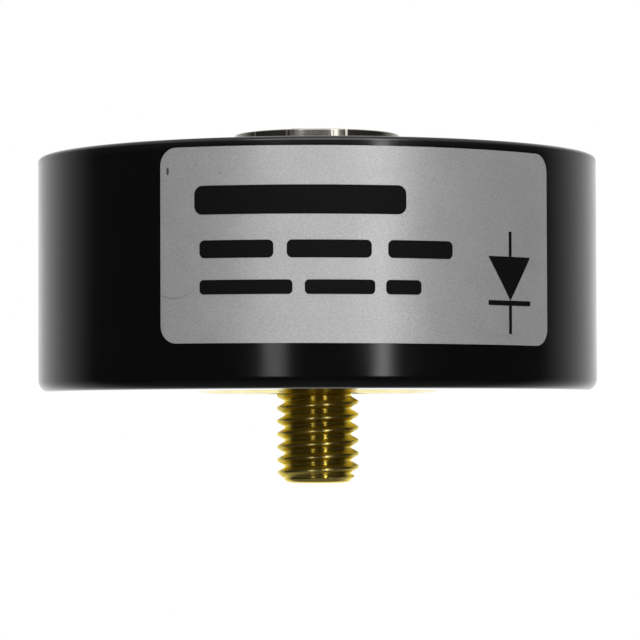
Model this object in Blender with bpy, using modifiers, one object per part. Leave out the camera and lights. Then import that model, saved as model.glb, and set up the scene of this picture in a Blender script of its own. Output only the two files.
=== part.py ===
"""Power diode: a round potted rectifier with a threaded stud below and a tapped terminal on top.

All sizes are in metres. Z is the axis of the diode, with Z = 0 on the seating face that
presses on the heat sink, and the label faces -Y.
"""

import math

import bmesh
import bpy

# Clearance between pieces that touch, or that a thin layer of solder joins
SEAT_GAP = 0.0003
# Clearance under the self-adhesive label
LABEL_GAP = 0.0001

# Case: a moulded cup with a round opening in its floor
CASE_RADIUS = 0.0270
CASE_HEIGHT = 0.0225
CASE_WALL = 0.0020
CASE_FLOOR = 0.0020
CASE_FOOT_ROUND = 0.00127
CASE_RIM_ROUND = 0.0004
CASE_INNER_ROUND = 0.0010

# Base: a turned brass disc whose face stands slightly proud of the case, and slopes back
# to the case's underside near its edge
BASE_FACE_RADIUS = 0.0119
BASE_FACE_PROUD = 0.0002
BASE_FACE_SLOPE = 0.0020
BASE_SHOULDER = 0.0021
BASE_HEIGHT = 0.0060
BASE_CHAMFER = 0.0002
BASE_HOLE_DEPTH = 0.0048
BASE_COUNTERSINK = 0.0011

# Stud: M8 thread of 1.25 mm pitch, screwed into the base
STUD_LENGTH = 0.00865
STUD_IN_BASE = 0.0045
STUD_INNER_CHAMFER = 0.0005
STUD_TIP_RADIUS = 0.0029
STUD_TIP_HEIGHT = 0.00105
THREAD_RADIUS = 0.0040
THREAD_CREST_RADIUS = 0.00395
THREAD_PITCH = 0.00125
THREAD_FLANK_ANGLE = math.radians(30.0)
# Height of one crest on the +X side, which sets how far the thread is turned
THREAD_CREST_AT_X = -0.0008

# Layers soldered on the base: two diode chips in series between molybdenum discs
LOWER_DISC_RADIUS = 0.0090
DISC_RADIUS = 0.0072
DISC_THICKNESS = 0.0006
CHIP_RADIUS = 0.0080
CHIP_THICKNESS = 0.0004
EDGE_RING_WIDTH = 0.0010

# Contact cap and the strap that lets the stack grow and shrink with heat
CAP_RADIUS = 0.0062
CAP_THICKNESS = 0.0005
STRAP_THICKNESS = 0.0004
STRAP_HEIGHT = 0.0022
STRAP_WIDTH = 0.0070
STRAP_REACH = 0.0050

# Terminal bush: plated brass with a blind hole of the size that is drilled for an M8 thread
BUSH_RADIUS = 0.0080
BUSH_PROUD = 0.0024
BUSH_CHAMFER = 0.0001
BUSH_GROOVE_DEPTH = 0.0012
BUSH_GROOVE_WIDTH = 0.0022
BUSH_COLLAR_FLATS = 0.0170
BUSH_COLLAR_HEIGHT = 0.0026
BUSH_HOLE_RADIUS = 0.0034
BUSH_HOLE_DEPTH = 0.0098
BUSH_COUNTERSINK = 0.0007

# Soft gel round the chips, and the hard potting that fills the case
GEL_RADIUS = 0.0120
POTTING_DROP = 0.0007
MENISCUS_RISE = 0.0003
MENISCUS_REACH = 0.0009

# Label: unrolled size, and its place on the case wall, above the case's underside
LABEL_WIDTH = 0.0389
LABEL_HEIGHT = 0.0176
LABEL_THICKNESS = 0.00015
LABEL_CORNER_ROUND = 0.0014
LABEL_CENTRE_TURN = math.radians(9.9)
LABEL_BOTTOM = 0.0040

# Number of flat sides on each kind of round piece, and of steps on an edge round
CASE_SIDES = 72
STACK_SIDES = 48
THREAD_SIDES = 24
ROUND_STEPS = 3
THREAD_ROOT_STEPS = 2
HEXAGON_SIDES = 6

# Weld distance for points that coincide, and the angle past which an edge is shaded sharp
WELD = 0.000001
SHARP_EDGE_ANGLE = math.radians(35.0)

# Heights that follow from the sizes above
CASE_UNDERSIDE = BASE_FACE_PROUD
CASE_TOP = CASE_UNDERSIDE + CASE_HEIGHT
CASE_FLOOR_TOP = CASE_UNDERSIDE + CASE_FLOOR
CASE_INNER_RADIUS = CASE_RADIUS - CASE_WALL
BASE_RADIUS = BASE_FACE_RADIUS + BASE_SHOULDER
BASE_SHOULDER_BOTTOM = CASE_FLOOR_TOP + SEAT_GAP
LOWER_DISC_BOTTOM = BASE_HEIGHT + SEAT_GAP
LOWER_CHIP_BOTTOM = LOWER_DISC_BOTTOM + DISC_THICKNESS + SEAT_GAP
MIDDLE_DISC_BOTTOM = LOWER_CHIP_BOTTOM + CHIP_THICKNESS + SEAT_GAP
UPPER_CHIP_BOTTOM = MIDDLE_DISC_BOTTOM + DISC_THICKNESS + SEAT_GAP
UPPER_DISC_BOTTOM = UPPER_CHIP_BOTTOM + CHIP_THICKNESS + SEAT_GAP
CAP_BOTTOM = UPPER_DISC_BOTTOM + DISC_THICKNESS + SEAT_GAP
STRAP_BOTTOM = CAP_BOTTOM + CAP_THICKNESS + SEAT_GAP
BUSH_BOTTOM = STRAP_BOTTOM + STRAP_HEIGHT + SEAT_GAP
BUSH_TOP = CASE_TOP + BUSH_PROUD
COLLAR_TOP = BUSH_BOTTOM + BUSH_COLLAR_HEIGHT
GROOVE_TOP = COLLAR_TOP + BUSH_GROOVE_WIDTH
EDGE_RING_HEIGHT = CHIP_THICKNESS + SEAT_GAP + DISC_THICKNESS
EDGE_RING_INNER_RADIUS = CHIP_RADIUS + SEAT_GAP
EDGE_RING_RADIUS = EDGE_RING_INNER_RADIUS + EDGE_RING_WIDTH
GEL_TOP = BUSH_BOTTOM - SEAT_GAP
POTTING_LEVEL = CASE_TOP - POTTING_DROP

# Colours of the materials, as linear red, green and blue
BLACK_MOULDING = (0.010, 0.010, 0.011)
BLACK_EPOXY = (0.014, 0.014, 0.015)
LABEL_GREY = (0.43, 0.43, 0.44)
BRASS = (0.70, 0.48, 0.14)
NICKEL = (0.62, 0.60, 0.55)
MOLYBDENUM = (0.36, 0.36, 0.38)
SILICON = (0.08, 0.09, 0.11)
COPPER = (0.80, 0.36, 0.20)
CLEAR_GEL = (0.60, 0.62, 0.60)
WHITE_RUBBER = (0.65, 0.63, 0.60)


def clear_scene():
    """Remove every object, so that the model starts from an empty scene."""
    for scene_object in list(bpy.data.objects):
        bpy.data.objects.remove(scene_object, do_unlink=True)


def new_collection(name):
    """Add a collection to the scene."""
    collection = bpy.data.collections.new(name)
    bpy.context.scene.collection.children.link(collection)
    return collection


def material(name, colour, metallic, roughness):
    """A Principled material with one colour."""
    new_material = bpy.data.materials.new(name)
    new_material.use_nodes = True
    shader = new_material.node_tree.nodes["Principled BSDF"]
    shader.inputs["Base Color"].default_value = (*colour, 1.0)
    shader.inputs["Metallic"].default_value = metallic
    shader.inputs["Roughness"].default_value = roughness
    new_material.diffuse_color = (*colour, 1.0)
    return new_material


def add_object(name, mesh, collection):
    """Put a mesh into the scene as a named object."""
    new_object = bpy.data.objects.new(name, mesh)
    collection.objects.link(new_object)
    return new_object


def as_cutter(cutter):
    """Show a cutter as wires only, and keep it out of renders."""
    cutter.display_type = "WIRE"
    cutter.hide_render = True
    return cutter


def arc(centre_radius, centre_height, round_radius, start_degrees, end_degrees, steps=ROUND_STEPS):
    """Points of a profile along an arc, where 0 degrees points away from the axis."""
    points = []
    for step in range(steps + 1):
        share = step / steps
        angle = math.radians(start_degrees + (end_degrees - start_degrees) * share)
        radius = centre_radius + round_radius * math.cos(angle)
        height = centre_height + round_radius * math.sin(angle)
        points.append((radius, height))
    return points


def profile_mesh(name, profile, closed):
    """A chain of edges in the XZ plane from points of radius and height."""
    points = [(radius, 0.0, height) for radius, height in profile]
    edges = [(index, index + 1) for index in range(len(points) - 1)]
    if closed:
        edges.append((len(points) - 1, 0))
    mesh = bpy.data.meshes.new(name)
    mesh.from_pydata(points, edges, [])
    return mesh


def turned(name, profile, closed, sides, collection):
    """A turned piece. The profile runs down its outer side, and a ring's profile is closed."""
    piece = add_object(name, profile_mesh(name, profile, closed), collection)
    screw = piece.modifiers.new("Turn", "SCREW")
    screw.axis = "Z"
    screw.angle = math.tau
    screw.steps = sides
    screw.render_steps = sides
    screw.use_merge_vertices = True
    screw.merge_threshold = WELD
    return piece


def solid_mesh(source):
    """Mesh of an object with its modifiers applied, its seams welded and its holes closed."""
    depsgraph = bpy.context.evaluated_depsgraph_get()
    mesh = bpy.data.meshes.new_from_object(source.evaluated_get(depsgraph))
    shape = bmesh.new()
    shape.from_mesh(mesh)
    bmesh.ops.remove_doubles(shape, verts=shape.verts, dist=WELD)
    open_edges = [edge for edge in shape.edges if edge.is_boundary]
    bmesh.ops.holes_fill(shape, edges=open_edges)
    bmesh.ops.recalc_face_normals(shape, faces=shape.faces)
    shape.to_mesh(mesh)
    shape.free()
    return mesh


def replace_by_solid(source, collection):
    """Swap an object for a plain mesh object of the same name and place."""
    bpy.context.view_layer.update()
    name = source.name
    place = source.matrix_world.copy()
    mesh = solid_mesh(source)
    bpy.data.objects.remove(source, do_unlink=True)
    solid = add_object(name, mesh, collection)
    solid.matrix_world = place
    return solid


def as_part(source, piece_material):
    """Finish a piece: a plain mesh, smooth where it is round and sharp at its edges."""
    part = replace_by_solid(source, source.users_collection[0])
    part.data.materials.clear()
    part.data.materials.append(piece_material)
    part.data.shade_smooth()
    part.data.set_sharp_from_angle(angle=SHARP_EDGE_ANGLE)
    return part


def outline_plate(name, points, thickness, collection):
    """A flat plate in the XY plane with the given outline, centred on Z = 0."""
    curve = bpy.data.curves.new(name, "CURVE")
    curve.dimensions = "2D"
    curve.fill_mode = "BOTH"
    curve.extrude = thickness / 2
    spline = curve.splines.new("POLY")
    spline.points.add(len(points) - 1)
    for point, (x, y) in zip(spline.points, points):
        point.co = (x, y, 0.0, 1.0)
    spline.use_cyclic_u = True
    return replace_by_solid(add_object(name, curve, collection), collection)


def boolean(target, operand, operation):
    """Cut an object from the target, keep their common part, or join the two."""
    modifier = target.modifiers.new(operation.capitalize(), "BOOLEAN")
    modifier.operation = operation
    modifier.solver = "EXACT"
    modifier.object = operand


def make_case(parts, piece_material):
    """Moulded cup with a rounded foot, a thin rim and an opening for the base."""
    foot_centre = CASE_RADIUS - CASE_FOOT_ROUND
    rim_centre = CASE_TOP - CASE_RIM_ROUND
    inner_centre = CASE_INNER_RADIUS - CASE_INNER_ROUND
    opening = BASE_FACE_RADIUS + SEAT_GAP
    profile = arc(CASE_RADIUS - CASE_RIM_ROUND, rim_centre, CASE_RIM_ROUND, 90, 0)
    profile += arc(foot_centre, CASE_UNDERSIDE + CASE_FOOT_ROUND, CASE_FOOT_ROUND, 0, -90)
    profile += [(opening, CASE_UNDERSIDE), (opening, CASE_FLOOR_TOP)]
    profile += arc(inner_centre, CASE_FLOOR_TOP + CASE_INNER_ROUND, CASE_INNER_ROUND, -90, 0)
    profile += arc(CASE_INNER_RADIUS + CASE_RIM_ROUND, rim_centre, CASE_RIM_ROUND, 180, 90)
    case = turned("case", profile, True, CASE_SIDES, parts)
    return as_part(case, piece_material)


def make_base(parts, piece_material):
    """Brass disc with a shoulder inside the case and a countersunk hole for the stud."""
    hole = THREAD_CREST_RADIUS + SEAT_GAP
    profile = [
        (0.0, BASE_HEIGHT),
        (BASE_RADIUS - BASE_CHAMFER, BASE_HEIGHT),
        (BASE_RADIUS, BASE_HEIGHT - BASE_CHAMFER),
        (BASE_RADIUS, BASE_SHOULDER_BOTTOM),
        (BASE_FACE_RADIUS, BASE_SHOULDER_BOTTOM),
        (BASE_FACE_RADIUS, CASE_UNDERSIDE),
        (BASE_FACE_RADIUS - BASE_FACE_SLOPE, 0.0),
        (hole + BASE_COUNTERSINK, 0.0),
        (hole, BASE_COUNTERSINK),
        (hole, BASE_HOLE_DEPTH),
        (0.0, BASE_HOLE_DEPTH),
    ]
    base = turned("base_electrode", profile, False, STACK_SIDES, parts)
    return as_part(base, piece_material)


def groove_section():
    """Section of the thread's groove as offsets along the axis at each radius, top to bottom."""
    # A metric thread's groove is 7/8 of the pitch wide at its full radius
    half_width = THREAD_PITCH * 7 / 16
    slope = math.tan(THREAD_FLANK_ANGLE)
    apex = THREAD_RADIUS - half_width / slope
    root_round = THREAD_PITCH * math.sqrt(3) / 12
    root_centre = apex + root_round / math.sin(THREAD_FLANK_ANGLE)
    outer = THREAD_RADIUS + (THREAD_RADIUS - THREAD_CREST_RADIUS)
    outer_half = (outer - apex) * slope
    turn = 90 - math.degrees(THREAD_FLANK_ANGLE)
    root = arc(root_centre, 0.0, root_round, 180 - turn, 180 + turn, THREAD_ROOT_STEPS)
    return [(outer, outer_half), *root, (outer, -outer_half)]


def make_thread_groove(cutters):
    """Helical groove that is cut from the stud's blank, as a screw-cutting tool does."""
    start = -STUD_LENGTH - THREAD_PITCH
    end = STUD_IN_BASE + THREAD_PITCH
    turns = (end - start) / THREAD_PITCH
    section = [(radius, start + offset) for radius, offset in groove_section()]
    groove = add_object("thread_groove", profile_mesh("thread_groove", section, True), cutters)
    screw = groove.modifiers.new("Helix", "SCREW")
    screw.axis = "Z"
    screw.angle = math.tau * turns
    screw.screw_offset = THREAD_PITCH * turns
    screw.steps = round(THREAD_SIDES * turns)
    screw.render_steps = screw.steps
    groove = replace_by_solid(groove, cutters)
    groove_at_x = THREAD_CREST_AT_X + THREAD_PITCH / 2
    groove.rotation_euler.z = math.tau * (start - groove_at_x) / THREAD_PITCH
    return as_cutter(groove)


def make_stud(parts, cutters, piece_material):
    """Threaded stud: a rod with a chamfered tip and a right-hand helical groove."""
    crest = THREAD_CREST_RADIUS
    profile = [
        (0.0, STUD_IN_BASE),
        (crest - STUD_INNER_CHAMFER, STUD_IN_BASE),
        (crest, STUD_IN_BASE - STUD_INNER_CHAMFER),
        (crest, STUD_TIP_HEIGHT - STUD_LENGTH),
        (STUD_TIP_RADIUS, -STUD_LENGTH),
        (0.0, -STUD_LENGTH),
    ]
    stud = turned("threaded_stud", profile, False, THREAD_SIDES, parts)
    boolean(stud, make_thread_groove(cutters), "DIFFERENCE")
    return as_part(stud, piece_material)


def make_disc(name, radius, bottom, thickness, parts, piece_material):
    """Flat round layer of the stack."""
    profile = [(0.0, bottom + thickness), (radius, bottom + thickness), (radius, bottom), (0.0, bottom)]
    return as_part(turned(name, profile, False, STACK_SIDES, parts), piece_material)


def make_edge_ring(name, bottom, parts, piece_material):
    """Rubber ring cast round the edge of a chip to insulate it."""
    top = bottom + EDGE_RING_HEIGHT
    profile = [
        (EDGE_RING_INNER_RADIUS, top),
        (EDGE_RING_RADIUS, top),
        (EDGE_RING_RADIUS, bottom),
        (EDGE_RING_INNER_RADIUS, bottom),
    ]
    return as_part(turned(name, profile, True, STACK_SIDES, parts), piece_material)


def strap_outline():
    """Side view of the strap: two flat leaves joined by a half-round bend."""
    bend = STRAP_HEIGHT / 2
    bend_centre = bend - STRAP_REACH
    inner = bend - STRAP_THICKNESS
    outline = [(STRAP_REACH, STRAP_HEIGHT)]
    outline += arc(bend_centre, bend, bend, 90, 270)
    outline += [(STRAP_REACH, 0.0), (STRAP_REACH, STRAP_THICKNESS)]
    outline += arc(bend_centre, bend, inner, 270, 90)
    outline += [(STRAP_REACH, STRAP_HEIGHT - STRAP_THICKNESS)]
    return outline


def make_strap(parts, piece_material):
    """Folded copper strap between the contact cap and the terminal bush."""
    strap = outline_plate("strain_relief_strap", strap_outline(), STRAP_WIDTH, parts)
    strap.rotation_euler.x = math.radians(90)
    strap.location.z = STRAP_BOTTOM
    return as_part(strap, piece_material)


def hexagon(name, across_flats, bottom, top, cutters):
    """Upright hexagonal prism."""
    corner_radius = across_flats / 2 / math.cos(math.pi / HEXAGON_SIDES)
    bpy.ops.mesh.primitive_cylinder_add(
        vertices=HEXAGON_SIDES,
        radius=corner_radius,
        depth=top - bottom,
        location=(0.0, 0.0, (top + bottom) / 2),
    )
    prism = bpy.context.object
    prism.name = name
    for owner in list(prism.users_collection):
        owner.objects.unlink(prism)
    cutters.objects.link(prism)
    return as_cutter(prism)


def make_bush_hole(cutters):
    """Blind hole with a countersunk mouth."""
    above = BUSH_TOP + BUSH_COUNTERSINK
    profile = [
        (0.0, above),
        (BUSH_HOLE_RADIUS + 2 * BUSH_COUNTERSINK, above),
        (BUSH_HOLE_RADIUS, BUSH_TOP - BUSH_COUNTERSINK),
        (BUSH_HOLE_RADIUS, BUSH_TOP - BUSH_HOLE_DEPTH),
        (0.0, BUSH_TOP - BUSH_HOLE_DEPTH),
    ]
    return as_cutter(turned("bush_hole", profile, False, STACK_SIDES, cutters))


def make_bush(parts, cutters, piece_material):
    """Terminal bush: round head, groove and hexagonal collar gripped by the potting."""
    groove = BUSH_RADIUS - BUSH_GROOVE_DEPTH
    profile = [
        (0.0, BUSH_TOP),
        (BUSH_RADIUS - BUSH_CHAMFER, BUSH_TOP),
        (BUSH_RADIUS, BUSH_TOP - BUSH_CHAMFER),
        (BUSH_RADIUS, GROOVE_TOP),
        (groove, GROOVE_TOP),
        (groove, BUSH_BOTTOM + BUSH_COLLAR_HEIGHT / 2),
        (0.0, BUSH_BOTTOM + BUSH_COLLAR_HEIGHT / 2),
    ]
    bush = turned("terminal_bush", profile, False, STACK_SIDES, parts)
    collar = hexagon("bush_collar", BUSH_COLLAR_FLATS, BUSH_BOTTOM, COLLAR_TOP, cutters)
    boolean(bush, collar, "UNION")
    boolean(bush, make_bush_hole(cutters), "DIFFERENCE")
    return as_part(bush, piece_material)


def make_gel(parts, piece_material):
    """Soft gel ring, wide round the chips and narrower round the strap."""
    strap_corner = math.hypot(STRAP_REACH, STRAP_WIDTH / 2)
    narrow = max(strap_corner, CAP_RADIUS) + SEAT_GAP
    wide = max(EDGE_RING_RADIUS, LOWER_DISC_RADIUS) + SEAT_GAP
    profile = [
        (narrow, GEL_TOP),
        (GEL_RADIUS, GEL_TOP),
        (GEL_RADIUS, LOWER_DISC_BOTTOM),
        (wide, LOWER_DISC_BOTTOM),
        (wide, CAP_BOTTOM),
        (narrow, CAP_BOTTOM),
    ]
    return as_part(turned("silicone_gel", profile, True, STACK_SIDES, parts), piece_material)


def meniscus(wall_radius, direction):
    """Profile points where the potting creeps up a wall, from the wall to the flat surface."""
    points = []
    for step in range(ROUND_STEPS):
        share = step / ROUND_STEPS
        radius = wall_radius + direction * MENISCUS_REACH * share
        height = POTTING_LEVEL + MENISCUS_RISE * (1.0 - share) ** 2
        points.append((radius, height))
    return points


def make_potting(parts, cutters, piece_material):
    """Hard epoxy that fills the case round the base, the gel and the bush."""
    outer = CASE_INNER_RADIUS - SEAT_GAP
    bottom = CASE_FLOOR_TOP + SEAT_GAP
    bush = BUSH_RADIUS + SEAT_GAP
    groove = bush - BUSH_GROOVE_DEPTH
    outer_top = meniscus(outer, -1.0)
    inner_top = meniscus(bush, 1.0)
    profile = [outer_top[0]]
    profile += arc(outer - CASE_INNER_ROUND, bottom + CASE_INNER_ROUND, CASE_INNER_ROUND, 0, -90)
    profile += [
        (BASE_RADIUS + SEAT_GAP, bottom),
        (BASE_RADIUS + SEAT_GAP, LOWER_DISC_BOTTOM),
        (GEL_RADIUS + SEAT_GAP, LOWER_DISC_BOTTOM),
        (GEL_RADIUS + SEAT_GAP, BUSH_BOTTOM),
        (groove, BUSH_BOTTOM),
        (groove, GROOVE_TOP - SEAT_GAP),
        (bush, GROOVE_TOP - SEAT_GAP),
    ]
    profile += inner_top
    profile += reversed(outer_top[1:])
    potting = turned("epoxy_potting", profile, True, CASE_SIDES, parts)
    pocket_flats = BUSH_COLLAR_FLATS + 2 * SEAT_GAP
    pocket = hexagon("collar_pocket", pocket_flats, BUSH_BOTTOM - SEAT_GAP, COLLAR_TOP + SEAT_GAP, cutters)
    boolean(potting, pocket, "DIFFERENCE")
    return as_part(potting, piece_material)


def label_outline(radius):
    """Rounded rectangle of the label, seen straight on when it is wrapped on the case."""
    half_width = LABEL_WIDTH / 2 - LABEL_CORNER_ROUND
    half_height = LABEL_HEIGHT / 2 - LABEL_CORNER_ROUND
    flat = arc(half_width, half_height, LABEL_CORNER_ROUND, 0, 90)
    flat += arc(-half_width, half_height, LABEL_CORNER_ROUND, 90, 180)
    flat += arc(-half_width, -half_height, LABEL_CORNER_ROUND, 180, 270)
    flat += arc(half_width, -half_height, LABEL_CORNER_ROUND, 270, 360)
    return [(radius * math.sin(along / radius), up) for along, up in flat]


def make_label(parts, cutters, piece_material):
    """Thin label wrapped on the front of the case."""
    inner = CASE_RADIUS + LABEL_GAP
    outer = inner + LABEL_THICKNESS
    middle = CASE_UNDERSIDE + LABEL_BOTTOM + LABEL_HEIGHT / 2
    top = middle + LABEL_HEIGHT
    bottom = middle - LABEL_HEIGHT
    profile = [(inner, top), (outer, top), (outer, bottom), (inner, bottom)]
    label = turned("label", profile, True, CASE_SIDES, parts)
    outline = outline_plate("label_outline", label_outline(outer), outer, cutters)
    outline.rotation_euler = (math.radians(90), 0.0, LABEL_CENTRE_TURN)
    outline.location = (
        outer * math.sin(LABEL_CENTRE_TURN),
        -outer * math.cos(LABEL_CENTRE_TURN),
        middle,
    )
    boolean(label, as_cutter(outline), "INTERSECT")
    return as_part(label, piece_material)


def make_stack(parts):
    """Discs, chips, rings, cap and strap, from the base up."""
    molybdenum = material("molybdenum", MOLYBDENUM, 1.0, 0.45)
    silicon = material("silicon", SILICON, 0.8, 0.2)
    rubber = material("silicone_rubber", WHITE_RUBBER, 0.0, 0.6)
    copper = material("copper", COPPER, 1.0, 0.35)
    discs = [
        ("lower_molybdenum_disc", LOWER_DISC_RADIUS, LOWER_DISC_BOTTOM),
        ("middle_molybdenum_disc", DISC_RADIUS, MIDDLE_DISC_BOTTOM),
        ("upper_molybdenum_disc", DISC_RADIUS, UPPER_DISC_BOTTOM),
    ]
    for name, radius, bottom in discs:
        make_disc(name, radius, bottom, DISC_THICKNESS, parts, molybdenum)
    chips = [("lower", LOWER_CHIP_BOTTOM), ("upper", UPPER_CHIP_BOTTOM)]
    for place, bottom in chips:
        make_disc(f"{place}_diode_chip", CHIP_RADIUS, bottom, CHIP_THICKNESS, parts, silicon)
        make_edge_ring(f"{place}_chip_edge_ring", bottom, parts, rubber)
    make_disc("contact_cap", CAP_RADIUS, CAP_BOTTOM, CAP_THICKNESS, parts, copper)
    make_strap(parts, copper)


def make_power_diode():
    """Build every piece of the diode at its real place."""
    parts = new_collection("power_diode")
    cutters = new_collection("cutters")
    make_case(parts, material("black_moulding", BLACK_MOULDING, 0.0, 0.2))
    brass = material("brass", BRASS, 1.0, 0.25)
    make_base(parts, brass)
    make_stud(parts, cutters, brass)
    make_stack(parts)
    make_bush(parts, cutters, material("nickel_plating", NICKEL, 1.0, 0.25))
    make_gel(parts, material("clear_gel", CLEAR_GEL, 0.0, 0.3))
    make_potting(parts, cutters, material("black_epoxy", BLACK_EPOXY, 0.0, 0.3))
    make_label(parts, cutters, material("grey_label", LABEL_GREY, 0.0, 0.5))


clear_scene()
make_power_diode()
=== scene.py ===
# %% [markdown]
# # Dressing a potted power diode
#
# A round black case holds two silicon chips under hard epoxy. The brass stud below is one
# pole and bolts the diode to its heat sink, and the round boss on top is the other pole.
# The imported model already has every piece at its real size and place. This lesson gives
# the pieces their looks: fine edges, a true screw thread, the wrapped label with its
# print, and a node-made finish for each surface.
#
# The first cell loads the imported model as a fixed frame. Nothing in it is moved. Where a
# finer piece stands for one of its pieces, it has the same form in the same place.

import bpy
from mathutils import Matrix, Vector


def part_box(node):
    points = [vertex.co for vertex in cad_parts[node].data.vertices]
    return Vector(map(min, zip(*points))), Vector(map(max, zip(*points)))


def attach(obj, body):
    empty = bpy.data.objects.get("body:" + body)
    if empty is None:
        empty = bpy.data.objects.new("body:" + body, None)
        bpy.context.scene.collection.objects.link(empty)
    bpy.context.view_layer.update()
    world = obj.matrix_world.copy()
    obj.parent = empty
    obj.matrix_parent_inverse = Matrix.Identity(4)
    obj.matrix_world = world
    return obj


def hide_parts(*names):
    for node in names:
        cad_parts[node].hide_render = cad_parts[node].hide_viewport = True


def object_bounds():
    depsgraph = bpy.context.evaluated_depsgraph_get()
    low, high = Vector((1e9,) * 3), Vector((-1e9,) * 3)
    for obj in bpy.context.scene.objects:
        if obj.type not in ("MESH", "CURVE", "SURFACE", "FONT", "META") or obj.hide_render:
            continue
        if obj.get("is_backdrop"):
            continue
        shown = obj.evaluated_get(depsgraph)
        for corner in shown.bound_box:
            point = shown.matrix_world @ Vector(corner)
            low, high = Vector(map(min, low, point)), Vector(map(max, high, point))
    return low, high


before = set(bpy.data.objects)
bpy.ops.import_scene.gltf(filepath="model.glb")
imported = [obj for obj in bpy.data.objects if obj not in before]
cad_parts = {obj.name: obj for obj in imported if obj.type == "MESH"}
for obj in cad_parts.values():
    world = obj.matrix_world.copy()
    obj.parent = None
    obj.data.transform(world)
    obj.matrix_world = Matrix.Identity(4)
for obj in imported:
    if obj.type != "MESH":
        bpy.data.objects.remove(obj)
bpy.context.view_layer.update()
print("nodes in the frame:", len(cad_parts))

# %% [markdown]
# ## Colours and nodes
#
# A colour picked from a screen is an sRGB hex value, but a shader works in linear light.
# One function turns the one into the other, so that every colour in the script can be
# written the way a paint chart gives it.
#
# Materials, the world and the shape trees are all made of nodes. One small function fills
# a node's inputs with plain values or with links, and one adds a node with its settings.

# %% Colour and node helpers
import math

import bpy

MM = 0.001


def linear(hex_colour):
    """Linear red, green, blue and alpha of an sRGB hex value such as #C8A24B."""
    channels = [int(hex_colour[start:start + 2], 16) / 255 for start in (1, 3, 5)]
    light = [c / 12.92 if c <= 0.04045 else ((c + 0.055) / 1.055) ** 2.4 for c in channels]
    return (*light, 1.0)


def fill(tree, node, inputs):
    """Give each input a value, a socket, or a node whose first output it reads."""
    for key, value in inputs.items():
        if isinstance(value, bpy.types.Node):
            value = value.outputs[0]
        if isinstance(value, bpy.types.NodeSocket):
            tree.links.new(value, node.inputs[key])
        else:
            node.inputs[key].default_value = value


def add_node(tree, kind, settings=None, inputs=None):
    """Add a node, set its properties and fill its inputs."""
    node = tree.nodes.new(kind)
    for name, value in (settings or {}).items():
        setattr(node, name, value)
    fill(tree, node, inputs or {})
    return node


print("mid grey #808080 in linear light:", round(linear("#808080")[0], 3))

# %% [markdown]
# ## Camera
#
# The photograph was taken with a long lens about a foot away, a little below the case, so
# the near part of the rim stands highest and hides the top. The distance follows from how
# much the rim bends, the height from the level at which an edge would look straight, and
# the focal length from the stud, whose thread pitch is a known 1.25 mm.

# %% Camera
CAMERA_DISTANCE = 317.0 * MM
CAMERA_SIDE = 0.21 * MM
CAMERA_HEIGHT = -3.1 * MM
CAMERA_TILT = math.radians(1.849)
CAMERA_ROLL = math.radians(0.19)
FOCAL_LENGTH = 183.8

camera_data = bpy.data.cameras.new("camera")
camera_data.lens = FOCAL_LENGTH
camera = bpy.data.objects.new("camera", camera_data)
camera.location = (CAMERA_SIDE, -CAMERA_DISTANCE, CAMERA_HEIGHT)
camera.rotation_euler = (math.pi / 2 + CAMERA_TILT, CAMERA_ROLL, 0.0)
bpy.context.scene.collection.objects.link(camera)
bpy.context.scene.camera = camera
bpy.context.scene.view_settings.view_transform = "Standard"
print("camera at (mm):", [round(value / MM, 1) for value in camera.location])

# %% [markdown]
# ## Lamps
#
# A glossy black cylinder shows its lamps as upright bands. The photograph has two soft
# ones, a dim one left of the middle and a brighter one right of it. Two strip lamps
# beside the camera give them: on a cylinder a band appears at half the lamp's angle. Both
# stop just below the camera's height, because the rounded foot of the case stays dark.
# The left one is short at its head too, so that the boss and the top of the wall stay dim
# on that side. The right one is tall, and its band runs up to the rim.
#
# A wide lamp above the camera lights the label evenly, and one straight above gives the
# top its light in the other views. A lamp's power is worked out from the brightness that
# it should have when it is seen in a mirror.

# %% Lamps
from mathutils import Vector

LAMP_DISTANCE = 0.8


def softbox(name, centre, width, height, brightness):
    """Rectangular lamp that faces the diode and shows only in reflections and as light."""
    data = bpy.data.lights.new(name, "AREA")
    data.shape = "RECTANGLE"
    data.size = width
    data.size_y = height
    data.energy = brightness * math.pi * width * height
    lamp = bpy.data.objects.new(name, data)
    lamp.location = centre
    lamp.visible_camera = False
    bpy.context.scene.collection.objects.link(lamp)
    return lamp


def turn_to(lamp, target):
    """Point a lamp's face at a place, with its height kept upright."""
    away = lamp.location - Vector(target)
    lamp.rotation_mode = "QUATERNION"
    lamp.rotation_quaternion = away.to_track_quat("Z", "Y")


# Degrees to the side of the camera, width, height of the head, brightness
STRIP_LAMPS = {
    "left_strip": (-16.9, 0.115, 0.085, 2.4),
    "right_strip": (25.5, 0.075, 0.56, 5.4),
}
STRIP_FOOT = -0.07
for name, (degrees, width, head, brightness) in STRIP_LAMPS.items():
    angle = math.radians(degrees)
    middle = (STRIP_FOOT + head) / 2
    centre = (LAMP_DISTANCE * math.sin(angle), -LAMP_DISTANCE * math.cos(angle), middle)
    strip = softbox(name, centre, width, head - STRIP_FOOT, brightness)
    turn_to(strip, (0.0, 0.0, middle))

# Centre, width, height, brightness
SOFTBOXES = {
    "front_softbox": ((0.05, -0.68, 0.42), 0.85, 0.36, 3.6),
    "top_softbox": ((0.05, 0.15, 0.90), 0.55, 0.55, 0.35),
}
for name, (centre, width, height, brightness) in SOFTBOXES.items():
    turn_to(softbox(name, centre, width, height, brightness), (0.0, 0.0, 0.0))

# %% [markdown]
# ## White surroundings
#
# Behind the diode the photograph is pure white, and the sides of the case mirror that
# white more and more towards their edges. In front the room is dark, which keeps the
# middle of the case black. The world does the same: a ray that comes from the camera sees
# plain white, a ray mirrored by the object sees white behind and dark in front, and the
# soft light that reaches a matt surface is an even grey fill.
#
# The sums are a table: each line names a result, an operation, and what it works on, which
# is a number or an earlier result. A loop turns each line into one Math node.

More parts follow.
